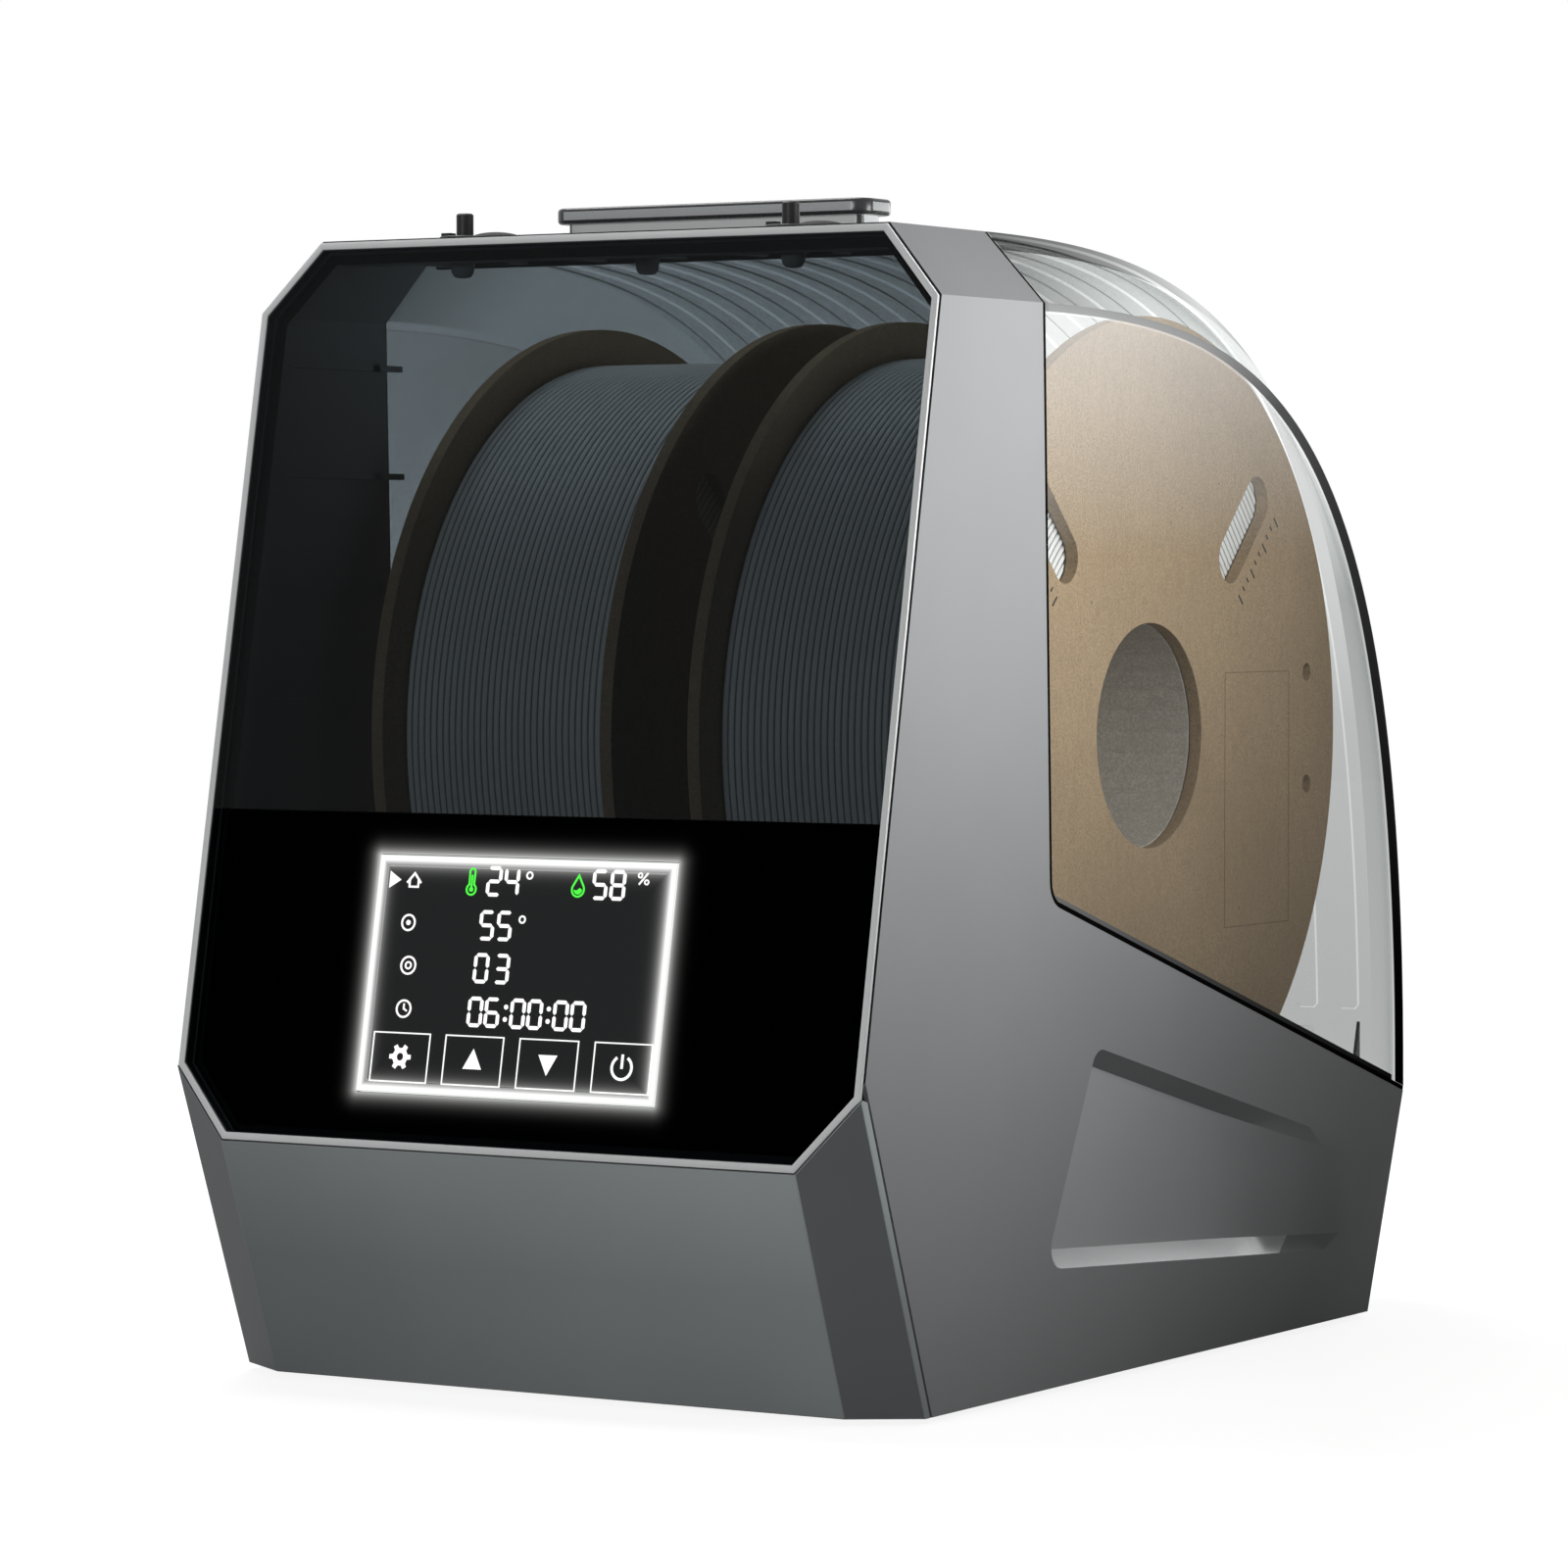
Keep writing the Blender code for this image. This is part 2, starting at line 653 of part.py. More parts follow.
def make_recess(sign):
    """The room of one grip recess. Its floor rises smoothly to the side's face at the rear."""
    depths = [(0.0, RECESS_DEPTH)]
    for step in range(RECESS_FADE_STEPS + 1):
        share = step / RECESS_FADE_STEPS
        rise = share * share * (3.0 - 2.0 * share)
        y = RECESS_FADE_START + (RECESS_FADE_END - RECESS_FADE_START) * share
        depths.append((y, RECESS_DEPTH - (RECESS_DEPTH + RECESS_FADE_OVER) * rise))
    far = HALF_WIDTH + OUTSIDE
    sections = []
    for y, depth in depths:
        low = line_height(RECESS_LOW_FRONT, RECESS_LOW_REAR, y)
        high = line_height(RECESS_TOP_FRONT, RECESS_TOP_REAR, y)
        bed = HALF_WIDTH - depth
        section = [(far, low), (far, high), (HALF_WIDTH, high), (bed, high - RECESS_TOP_RUN),
                   (bed, low + RECESS_LOW_RUN), (HALF_WIDTH, low)]
        sections.append([(sign * x, y, z) for x, z in section])
    rim = prism('rim', recess_outline(0.0), -BODY_WIDTH, BODY_WIDTH, 'X')
    return keep(stack('recess', sections), rim)


def make_main_shell():
    shell = body_form('main_shell', front=BEZEL_EDGE + GROOVE, chin=CHIN_WALL + GROOVE)
    cut(shell, body_form('hollow', skin=SHELL_WALL, front=FLANGE_BACK, chin=-OUTSIDE, bottom=-OUTSIDE))
    cut(shell, cover_region('cover_side', -SEAM_GAP / 2))
    rebate = front_plate('rebate', front_outline(SHELL_LIP), -OUTSIDE, BEZEL_DEPTH + FIT_GAP)
    cut(shell, from_front_plane(rebate))
    view = front_plate('view', front_outline(FLANGE_WIDTH), 0.0, FLANGE_BACK + OUTSIDE)
    cut(shell, from_front_plane(view))
    for sign in (-1, 1):
        join(shell, recess_form('backing', sign, RECESS_BACKING, 0.0))
        cut(shell, make_recess(sign))
    holes = []
    low = BODY_HEIGHT - SHELL_WALL - OUTSIDE
    for x in (-OUTLET_X, OUTLET_X):
        for y, radius in ((OUTLET_Y, OUTLET_RADIUS), (PLUG_Y, PLUG_STEM_RADIUS)):
            hole = disc('hole', radius + FIT_GAP, low, BODY_HEIGHT + OUTSIDE)
            holes.append(move(hole, x, y, 0.0))
    across = INLET_BODY_WIDTH / 2 + FIT_GAP
    up = INLET_BODY_TALL / 2 + FIT_GAP
    holes.append(on_rear_wall(block('inlet_hole', (-across, -INLET_DEPTH, -up), (across, INLET_DEPTH, up))))
    return cut(shell, *holes)


def on_rear_wall(piece):
    """Turns a shape built about the rear wall's face, with y straight out, into the body's frame."""
    turn = math.atan(REAR_SLOPE)
    sine = math.sin(turn)
    cosine = math.cos(turn)
    y_wall = BODY_LENGTH - REAR_SLOPE * (HINGE_Z - INLET_Z)
    for vertex in piece.data.vertices:
        out = vertex.co.y
        up = vertex.co.z
        vertex.co.y = y_wall + out * cosine + up * sine
        vertex.co.z = INLET_Z - out * sine + up * cosine
    return piece


def make_chin_panel():
    """A bent plate with a middle face and two corner faces, ending square to the front plane."""
    back = CHIN_WALL / math.cos(math.atan(CHIN_TUCK / CHIN_HEIGHT))
    lean = math.atan(CHIN_TUCK / CHIN_HEIGHT) + FRONT_LEAN
    depth = CHIN_WALL / math.cos(lean)
    loops = []
    for x, side in ((-HALF_WIDTH, True), (CORNER_CUT - HALF_WIDTH, False), (HALF_WIDTH - CORNER_CUT, False),
                    (HALF_WIDTH, True)):
        low, high = body_profile(side)[:2]
        inner = (high[0] + depth * math.cos(FRONT_LEAN), high[1] - depth * math.sin(FRONT_LEAN))
        loops.append([(x, *low), (x, *high), (x, *inner), (x, low[0] + back, 0.0)])
    return stack('chin_panel', loops)


def make_front_bezel():
    ledge = BEZEL_DEPTH - BEZEL_LEDGE_THICKNESS
    tongue = SHELL_LIP + FIT_GAP
    section = [(FIT_GAP, 0.0), (BEZEL_FACE, 0.0), (BEZEL_FACE, ledge), (BEZEL_LEDGE, ledge),
               (BEZEL_LEDGE, BEZEL_DEPTH), (tongue, BEZEL_DEPTH), (tongue, BEZEL_EDGE),
               (FIT_GAP, BEZEL_EDGE)]
    loops = [[(x, s, -depth) for x, s in front_outline(margin)] for margin, depth in section]
    return stack('front_bezel', loops, ring=True)


def make_front_window():
    return front_plate('front_window', front_outline(BEZEL_FACE + FIT_GAP), WINDOW_SINK, WINDOW_BACK)


def make_base_plate():
    plate = body_form('base_plate', skin=SHELL_WALL + FIT_GAP, chin=CHIN_WALL + FIT_GAP, front=FLANGE_BACK)
    keep(plate, slab('plate_slice', -OUTSIDE, PLATE_THICKNESS))
    holes = air_slots(-OUTSIDE, PLATE_THICKNESS + OUTSIDE)
    for x, y in foot_places():
        holes.append(move(disc('foot_seat', FOOT_RADIUS + FIT_GAP, -OUTSIDE, FOOT_SEAT), x, y, 0.0))
    head = SCREW_HEAD_RADIUS + FIT_GAP
    shank = SCREW_RADIUS + FIT_GAP
    for x, y in screw_places():
        steps = [(head, -OUTSIDE), (head, SCREW_HEAD), (shank, SCREW_HEAD), (shank, OUTSIDE)]
        holes.append(move(turned('screw_seat', steps, 'Z', SCREW_SIDES), x, y, 0.0))
    return cut(plate, *holes)


def air_slots(low, high):
    slots = []
    for step in range(AIR_SLOTS):
        x = (step - (AIR_SLOTS - 1) / 2) * AIR_SLOT_PITCH
        slots.append(block('slot', (x - AIR_SLOT_WIDTH / 2, AIR_Y - AIR_SLOT_LENGTH / 2, low),
                           (x + AIR_SLOT_WIDTH / 2, AIR_Y + AIR_SLOT_LENGTH / 2, high)))
    return slots


def foot_places():
    rear = BODY_LENGTH - FOOT_IN_REAR
    return [(sign * (HALF_WIDTH - FOOT_IN_X), y) for y in (FOOT_IN_FRONT, rear) for sign in (-1, 1)]


def screw_places():
    rear = BODY_LENGTH - FOOT_IN_REAR
    inward = HALF_WIDTH - FOOT_IN_X - SCREW_OFFSET
    return [(sign * inward, y) for y in (FOOT_IN_FRONT, rear) for sign in (-1, 1)]


def make_foot(name):
    low = -FOOT_PROUD
    profile = [(FOOT_RADIUS - FOOT_EDGE, low), (FOOT_RADIUS, low + FOOT_EDGE),
               (FOOT_RADIUS, FOOT_SEAT - FIT_GAP)]
    return turned(name, profile, 'Z', 20)


def make_screw(name):
    top = SCREW_HEAD - FIT_GAP
    profile = [(SCREW_HEAD_RADIUS - SCREW_EDGE, SCREW_SINK), (SCREW_HEAD_RADIUS, SCREW_SINK + SCREW_EDGE),
               (SCREW_HEAD_RADIUS, top), (SCREW_RADIUS, top), (SCREW_RADIUS, SCREW_LENGTH - SCREW_RADIUS),
               (SCREW_EDGE, SCREW_LENGTH)]
    return turned(name, profile, 'Z', SCREW_SIDES)


# Cover, seal and hinge

def make_clear_cover():
    cover = body_form('clear_cover')
    keep(cover, cover_region('cover_side', SEAM_GAP / 2))
    cut(cover, body_form('hollow', skin=COVER_WALL, front=-OUTSIDE, chin=-OUTSIDE, bottom=-OUTSIDE))
    return cover


def make_cover_gasket():
    """A thin closed band that follows the seam all the way round."""
    edge = SEAM_GAP / 2 - FIT_GAP
    gasket = body_form('cover_gasket', skin=FIT_GAP)
    keep(gasket, cover_region('front_edge', -edge))
    cut(gasket, cover_region('rear_edge', edge))
    cut(gasket, body_form('hollow', skin=COVER_WALL, front=-OUTSIDE, chin=-OUTSIDE, bottom=-OUTSIDE))
    return gasket


def make_cover_handle():
    low = BODY_HEIGHT + FIT_GAP
    y = SEAM_TOP_Y + HANDLE_SETBACK + HANDLE_LENGTH / 2
    top = BODY_HEIGHT + HANDLE_RISE
    foot = rounded_rectangle(HANDLE_WIDTH - 2 * HANDLE_OVERHANG, HANDLE_LENGTH - 2 * HANDLE_OVERHANG,
                             HANDLE_CORNER - HANDLE_OVERHANG / 2)
    plate = rounded_rectangle(HANDLE_WIDTH, HANDLE_LENGTH, HANDLE_CORNER)
    loops = [[(a, b + y, level) for a, b in outline] for outline, level in
             ((foot, low), (foot, top), (plate, top), (plate, top + HANDLE_PLATE))]
    return stack('cover_handle', loops)


def knuckle_spans(on_cover):
    """Stretches of x that the knuckles of one leaf take up, about the hinge's middle."""
    inner = KNUCKLE_SHARE / 2
    if on_cover:
        return [(-inner, inner)]
    return [(-HINGE_WIDTH / 2, -inner - FIT_GAP), (inner + FIT_GAP, HINGE_WIDTH / 2)]


def leaf_outline(on_cover):
    """(y, z) outline of a leaf from its plate to its hinge axis."""
    if on_cover:
        face = BODY_LENGTH + FIT_GAP
        low = HINGE_Z + LEAF_START
        high = low + LEAF_TALL
        back = face + LEAF_THICKNESS
        return [(face, low), (face, high), (back, high), (back, low + LEAF_THICKNESS),
                (HINGE_Y + KNUCKLE_RADIUS - LEAF_THICKNESS / 2, HINGE_Z), (HINGE_Y - PIN_RADIUS, HINGE_Z)]
    face = FIT_GAP / math.cos(math.atan(REAR_SLOPE))
    back = face + LEAF_THICKNESS
    top = HINGE_Z - LEAF_START
    low = top - LEAF_TALL

    def wall(z):
        return BODY_LENGTH - REAR_SLOPE * (HINGE_Z - z)
    return [(wall(low) + face, low), (wall(top) + face, top), (HINGE_Y - PIN_RADIUS, HINGE_Z),
            (HINGE_Y + KNUCKLE_RADIUS - LEAF_THICKNESS / 2, HINGE_Z),
            (wall(top) + back, top - LEAF_THICKNESS), (wall(low) + back, low)]


def make_hinge_leaf(name, centre, on_cover):
    half = KNUCKLE_SHARE / 2 if on_cover else HINGE_WIDTH / 2
    leaf = prism(name, leaf_outline(on_cover), centre - half, centre + half, 'X')
    for low, high in knuckle_spans(on_cover):
        knuckle = disc('knuckle', KNUCKLE_RADIUS, centre + low, centre + high, 'X')
        join(leaf, move(knuckle, 0.0, HINGE_Y, HINGE_Z))
    if not on_cover:
        reach = KNUCKLE_SHARE / 2 + FIT_GAP
        clear = KNUCKLE_RADIUS + FIT_GAP
        swing = disc('swing', clear + LEAF_THICKNESS, centre - reach, centre + reach, 'X')
        cut(leaf, move(swing, 0.0, HINGE_Y, HINGE_Z))
    bore = disc('bore', PIN_RADIUS + FIT_GAP / 2, centre - HINGE_WIDTH, centre + HINGE_WIDTH, 'X', 16)
    return cut(leaf, move(bore, 0.0, HINGE_Y, HINGE_Z))


def make_hinge_pin(name):
    half = HINGE_WIDTH / 2 + PIN_END
    tip = PIN_RADIUS - PIN_TIP
    profile = [(tip, -half), (PIN_RADIUS, PIN_TIP - half), (PIN_RADIUS, half - PIN_TIP), (tip, half)]
    return turned(name, profile, 'X', 16)


# Display

def display_box(name, margin, near, far):
    """A block about the display's middle, grown by a margin."""
    box = front_block(name, DISPLAY_WIDTH + 2 * margin, DISPLAY_CENTRE - DISPLAY_TALL / 2 - margin,
                      DISPLAY_CENTRE + DISPLAY_TALL / 2 + margin, near, far)
    return move(box, DISPLAY_X, 0.0, 0.0)


def mask_front():
    return WINDOW_BACK + FIT_GAP


def board_front():
    return mask_front() + DISPLAY_THICKNESS + FIT_GAP


def make_display_mask():
    outline = front_outline(BEZEL_LEDGE + FIT_GAP, MASK_TOP)
    mask = front_plate('display_mask', outline, mask_front(), BEZEL_DEPTH)
    return cut(mask, display_box('view', FIT_GAP, 0.0, OUTSIDE))


def make_light_guide():
    guide = display_box('light_guide', 0.0, mask_front(), mask_front() + DISPLAY_THICKNESS)
    return cut(guide, display_box('view', -LIGHT_GUIDE_WIDTH, 0.0, OUTSIDE))


def make_display_panel():
    near = mask_front()
    return display_box('display_panel', -LIGHT_GUIDE_WIDTH - FIT_GAP, near, near + DISPLAY_THICKNESS)


def make_display_board():
    """The board behind the display, with its driver chip and ribbon socket on the back."""
    near = board_front()
    far = near + BOARD_THICKNESS
    board = display_box('display_board', DISPLAY_BASE - FLANGE_WIDTH - BOARD_CLEAR, near, far)
    for size, place in ((DRIVER_CHIP, DRIVER_CHIP_PLACE), (RIBBON_SOCKET, RIBBON_SOCKET_PLACE)):
        middle = DISPLAY_CENTRE + place[1]
        chip = front_block('chip', size[0], middle - size[1] / 2, middle + size[1] / 2,
                           far - BOARD_THICKNESS / 2, far + size[2])
        join(board, move(chip, DISPLAY_X + place[0], 0.0, 0.0))
    return board


def housing_front():
    return FLANGE_BACK + FIT_GAP


def make_display_housing():
    """A black tray behind the mask. It closes the chamber's front below the clear view."""
    near = housing_front()
    margin = FLANGE_WIDTH - HOUSING_LAP
    outline = front_outline(margin, MASK_TOP)
    housing = front_plate('display_housing', outline, near, near + HOUSING_DEPTH)
    inner = front_outline(margin + HOUSING_WALL, MASK_TOP - HOUSING_WALL)
    return cut(housing, front_plate('tray', inner, 0.0, near + HOUSING_DEPTH - HOUSING_WALL))


def make_humidity_sensor():
    """A slotted sensor cage on the housing's back, facing the chamber."""
    near = housing_front() + HOUSING_DEPTH + FIT_GAP
    low = SENSOR_RAISE - SENSOR_TALL / 2
    high = SENSOR_RAISE + SENSOR_TALL / 2
    sensor = front_block('humidity_sensor', SENSOR_WIDTH, low, high, near, near + SENSOR_DEPTH)
    slots = []
    for step in range(SENSOR_SLOTS):
        x = (step - (SENSOR_SLOTS - 1) / 2) * SENSOR_SLOT_PITCH
        slot = front_block('slot', SENSOR_SLOT_WIDTH, low + SENSOR_RIM, high - SENSOR_RIM,
                           near + SENSOR_DEPTH / 2, near + OUTSIDE)
        slots.append(move(slot, x, 0.0, 0.0))
    return cut(sensor, *slots)


# Spools, about their own axis

def spool_inner_width():
    return SPOOL_WIDTH - 2 * FLANGE_BOARD


def make_spool_flange(name):
    """A cardboard disc centred on its own middle plane, with two slots in its upper half."""
    half = FLANGE_BOARD / 2
    flange = make_tube(name, CORE_BORE_RADIUS, SPOOL_RADIUS, half, SPOOL_SIDES)
    middle = (FLANGE_SLOT_START + FLANGE_SLOT_END) / 2
    length = FLANGE_SLOT_END - FLANGE_SLOT_START
    outline = rounded_rectangle(length, FLANGE_SLOT_WIDTH, FLANGE_SLOT_ROUNDING)
    slots = []
    for angle in FLANGE_SLOT_ANGLES:
        points = [turn_pair(middle + along, across, angle) for along, across in outline]
        slots.append(prism('slot', points, -OUTSIDE, OUTSIDE, 'X'))
    return cut(flange, *slots)


def turn_pair(along, across, angle):
    cosine = math.cos(angle)
    sine = math.sin(angle)
    return (along * cosine - across * sine, along * sine + across * cosine)


def make_tube(name, inner, outer, half, sides):
    profile = [(inner, -half), (outer, -half), (outer, half), (inner, half)]
    return turned(name, profile, 'X', sides, ring=True)


# Rollers and cradles

def roller_places():
    """(y, z) of the front and rear roller, just clear of the spool's rim."""
    reach = SPOOL_RADIUS + FIT_GAP + ROLLER_RADIUS
    z = SPOOL_Z - reach * math.cos(ROLLER_ANGLE)
    return {'front': (SPOOL_Y - reach * math.sin(ROLLER_ANGLE), z),
            'rear': (SPOOL_Y + reach * math.sin(ROLLER_ANGLE), z)}


def roller_half():
    return SPOOL_WIDTH / 2 + ROLLER_SIDE_GAP + ROLLER_SHOULDER


def make_roller(name):
    """A turned roller whose end shoulders keep the spool in its lane."""
    half = roller_half()
    inner = half - ROLLER_SHOULDER
    rise = ROLLER_RADIUS + ROLLER_SHOULDER_RISE
    bore = AXLE_RADIUS + FIT_GAP
    profile = [(bore, -half), (rise, -half), (rise, -inner), (ROLLER_RADIUS, -inner), (ROLLER_RADIUS, inner),
               (rise, inner), (rise, half), (bore, half)]
    return turned(name, profile, 'X', 24, ring=True)


def cradle_half():
    return roller_half() + ROLLER_SIDE_GAP + CRADLE_WALL


def make_axle(name):
    half = cradle_half() - AXLE_SHORT
    return disc(name, AXLE_RADIUS, -half, half, 'X', 16)


def make_cradle(name, centre):
    """Two end cheeks that hold the axles, joined by a rail under each roller."""
    places = roller_places()
    outer = cradle_half()
    low = FLOOR_TOP + FIT_GAP
    rail_top = low + CRADLE_PLATE
    (front_y, z), (rear_y, _) = places['front'], places['rear']
    cover = AXLE_RADIUS + CRADLE_AXLE_COVER
    front_end = front_y - CRADLE_RAIL / 2
    rear_end = rear_y + CRADLE_RAIL / 2
    dip = low + 3 * CRADLE_PLATE
    top = z + cover
    cheek = [(front_end, low), (front_end, rail_top), (front_y - cover, top), (front_y + cover, top),
             (front_y + CRADLE_RAIL, dip), (rear_y - CRADLE_RAIL, dip), (rear_y - cover, top),
             (rear_y + cover, top), (rear_end, rail_top), (rear_end, low)]
    cradle = prism(name, cheek, centre - outer, centre - outer + CRADLE_WALL, 'X')
    join(cradle, prism('cheek', cheek, centre + outer - CRADLE_WALL, centre + outer, 'X'))
    for y in (front_y, rear_y):
        join(cradle, block('rail', (centre - outer + CRADLE_WALL / 2, y - CRADLE_RAIL / 2, low),
                           (centre + outer - CRADLE_WALL / 2, y + CRADLE_RAIL / 2, rail_top)))
        bore = disc('bore', AXLE_RADIUS + FIT_GAP / 2, centre - 2 * outer, centre + 2 * outer, 'X', 16)
        cut(cradle, move(bore, 0.0, y, z))
    return cradle


# Chamber floor, fan and heater

def make_chamber_floor():
    floor = body_form('chamber_floor', skin=SHELL_WALL + FIT_GAP, chin=CHIN_WALL + FIT_GAP,
                      front=FLANGE_BACK)
    keep(floor, block('floor_slice', (-BODY_WIDTH, FLOOR_FRONT, FLOOR_Z),
                      (BODY_WIDTH, BODY_LENGTH, FLOOR_TOP)))
    holes = air_slots(FLOOR_Z - OUTSIDE, FLOOR_TOP + OUTSIDE)
    holes += [recess_form('clear', sign, RECESS_BACKING + FIT_GAP, OUTSIDE) for sign in (-1, 1)]
    return cut(floor, *holes)


def fan_low():
    return PLATE_THICKNESS + FIT_GAP


def make_fan_housing():
    """A square fan frame with a round duct and four struts that carry the motor's seat."""
    half = FAN_SIZE / 2
    low = fan_low()
    high = low + FAN_DEPTH
    frame = block('fan_housing', (-half, AIR_Y - half, low), (half, AIR_Y + half, high))
    duct = half - FAN_WALL
    cut(frame, move(disc('duct', duct, -OUTSIDE, high + OUTSIDE, sides=32), 0.0, AIR_Y, 0.0))
    seat_top = low + FAN_BASE
    seat = move(disc('seat', FAN_HUB_RADIUS, low, seat_top), 0.0, AIR_Y, 0.0)
    reach = half - FAN_WALL / 2
    for wide, deep in ((reach, FAN_STRUT / 2), (FAN_STRUT / 2, reach)):
        join(seat, block('strut', (-wide, AIR_Y - deep, low), (wide, AIR_Y + deep, seat_top)))
    return join(frame, seat)


def make_fan_rotor():
    """Hub and pitched blades about their own axis, with z = 0 at the hub's underside."""
    tall = FAN_DEPTH - FAN_BASE - 2 * FIT_GAP
    rotor = disc('fan_rotor', FAN_HUB_RADIUS - FIT_GAP, 0.0, tall)
    tip = FAN_SIZE / 2 - FAN_WALL - FAN_TIP_GAP
    root = FAN_HUB_RADIUS - FAN_BLADE_ROOT
    rise = (tall - FAN_BLADE_THICKNESS * 2) / 2
    run = rise / math.tan(FAN_BLADE_PITCH)
    middle = tall / 2
    for step in range(FAN_BLADES):
        angle = math.tau * step / FAN_BLADES
        loops = []
        for reach in (root, tip):
            thick = FAN_BLADE_THICKNESS
            corners = ((-run / 2, middle - rise), (run / 2, middle + rise - thick), (run / 2, middle + rise),
                       (-run / 2, middle - rise + thick))
            loops.append([(*turn_pair(math.sqrt(reach * reach - across * across), across, angle), level)
                          for across, level in corners])
        join(rotor, stack('blade', loops))
    return rotor


def duct_low():
    return fan_low() + FAN_DEPTH + FIT_GAP


def make_heater_duct():
    half = FAN_SIZE / 2
    low = duct_low()
    high = FLOOR_Z - FIT_GAP
    duct = block('heater_duct', (-half, AIR_Y - half, low), (half, AIR_Y + half, high))
    inner = half - DUCT_WALL
    return cut(duct, block('bore', (-inner, AIR_Y - inner, low - OUTSIDE),
                           (inner, AIR_Y + inner, high + OUTSIDE)))


def make_heater_core():
    """A finned heating block with slots for the air."""
    half = FAN_SIZE / 2 - DUCT_WALL - FIT_GAP
    middle = (duct_low() + FLOOR_Z) / 2
    low = middle - HEATER_HEIGHT / 2
    high = middle + HEATER_HEIGHT / 2
    core = block('heater_core', (-half, AIR_Y - half, low), (half, AIR_Y + half, high))
    pitch = 2 * (half - HEATER_RIM) / HEATER_SLOTS
    slots = []
    for step in range(HEATER_SLOTS):
        x = (step - (HEATER_SLOTS - 1) / 2) * pitch
        slots.append(block('slot', (x - HEATER_SLOT_WIDTH / 2, AIR_Y - half + HEATER_RIM, low - OUTSIDE),
                           (x + HEATER_SLOT_WIDTH / 2, AIR_Y + half - HEATER_RIM, high + OUTSIDE)))
    return cut(core, *slots)


# Electronics

def make_board(name, sign, width, length, parts):
    """A board beside the fan, on four posts, with its tall components as blocks."""
    low = PLATE_THICKNESS + FIT_GAP
    under = low + BOARD_HEIGHT
    top = under + BOARD_THICKNESS
    x = sign * (FAN_SIZE / 2 + BOARD_BESIDE_FAN + width / 2)
    y = BODY_LENGTH - BOARD_IN_REAR
    board = block(name, (x - width / 2, y - length / 2, under), (x + width / 2, y + length / 2, top))
    edge = BOARD_POST_RADIUS + BOARD_POST_EDGE
    for across in (-1, 1):
        for along in (-1, 1):
            post = disc('post', BOARD_POST_RADIUS, low, under + BOARD_THICKNESS / 2, sides=12)
            join(board, move(post, x + across * (width / 2 - edge), y + along * (length / 2 - edge), 0.0))
    for (wide, deep, tall), place in parts:
        part_x = x + place[0]
        part_y = y + place[1]
        join(board, block('component', (part_x - wide / 2, part_y - deep / 2, top - BOARD_THICKNESS / 2),
                          (part_x + wide / 2, part_y + deep / 2, top + tall)))
    return board


def make_power_supply():
    parts = ((TRANSFORMER, TRANSFORMER_PLACE), (CAPACITOR, CAPACITOR_PLACE), (HEAT_SINK, HEAT_SINK_PLACE),
             (TERMINALS, TERMINALS_PLACE))
    return make_board('power_supply', -1, SUPPLY_WIDTH, SUPPLY_LENGTH, parts)


def make_control_board():
    parts = ((CONTROLLER, CONTROLLER_PLACE), (RELAY, RELAY_PLACE), (SOCKETS, SOCKETS_PLACE))
    return make_board('control_board', 1, CONTROL_WIDTH, CONTROL_LENGTH, parts)


def make_mains_inlet():
    """A three-blade appliance inlet, built about the rear wall's face with y straight out."""
    def centred(name, width, tall, near, far, x=0.0, up=0.0):
        return block(name, (x - width / 2, near, up - tall / 2), (x + width / 2, far, up + tall / 2))
    face = FIT_GAP + INLET_FLANGE
    inlet = centred('mains_inlet', INLET_BODY_WIDTH, INLET_BODY_TALL, face - INLET_DEPTH,
                    face - INLET_FLANGE / 2)
    join(inlet, centred('rim', INLET_FLANGE_WIDTH, INLET_FLANGE_TALL, FIT_GAP, face))
    bottom = face - INLET_SOCKET_DEPTH
    cut(inlet, centred('socket', INLET_SOCKET_WIDTH, INLET_SOCKET_TALL, bottom, face + OUTSIDE))
    blades = ((-INLET_PIN_SPREAD, -INLET_PIN_RAISE), (0.0, INLET_PIN_RAISE),
              (INLET_PIN_SPREAD, -INLET_PIN_RAISE))
    for x, up in blades:
        join(inlet, centred('blade', INLET_PIN_WIDTH, INLET_PIN_TALL, bottom - INLET_PIN_WIDTH / 2,
                            bottom + INLET_PIN_LENGTH, x, up))
    return on_rear_wall(inlet)


# Filament outlets, about their own axes with z = 0 on the top arch

def make_outlet_fitting(name):
    low = -SHELL_WALL - OUTLET_REACH_DOWN
    collar = FIT_GAP + OUTLET_COLLAR
    profile = [(OUTLET_BORE_RADIUS, low), (OUTLET_RADIUS, low), (OUTLET_RADIUS, FIT_GAP),
               (OUTLET_COLLAR_RADIUS, FIT_GAP), (OUTLET_COLLAR_RADIUS, collar), (OUTLET_RADIUS, collar),
               (OUTLET_RADIUS, OUTLET_RISE), (OUTLET_BORE_RADIUS, OUTLET_RISE)]
    return turned(name, profile, 'Z', 20, ring=True)


def make_outlet_plug(name):
    """A soft plug with a stem and a low domed cap."""
    low = -SHELL_WALL - PLUG_REACH_DOWN
    rim = FIT_GAP + PLUG_RIM_SHARE * PLUG_RISE
    profile = [(PLUG_STEM_RADIUS - PLUG_TIP, low), (PLUG_STEM_RADIUS, low + PLUG_TIP_LENGTH),
               (PLUG_STEM_RADIUS, FIT_GAP), (PLUG_RADIUS, FIT_GAP)]
    for step in range(PLUG_DOME_STEPS):
        angle = PLUG_DOME_ANGLE * step / (PLUG_DOME_STEPS - 1)
        profile.append((PLUG_RADIUS * math.cos(angle), rim + (PLUG_RISE - rim) * math.sin(angle)))
    return turned(name, profile, 'Z', 20)


# Assembly

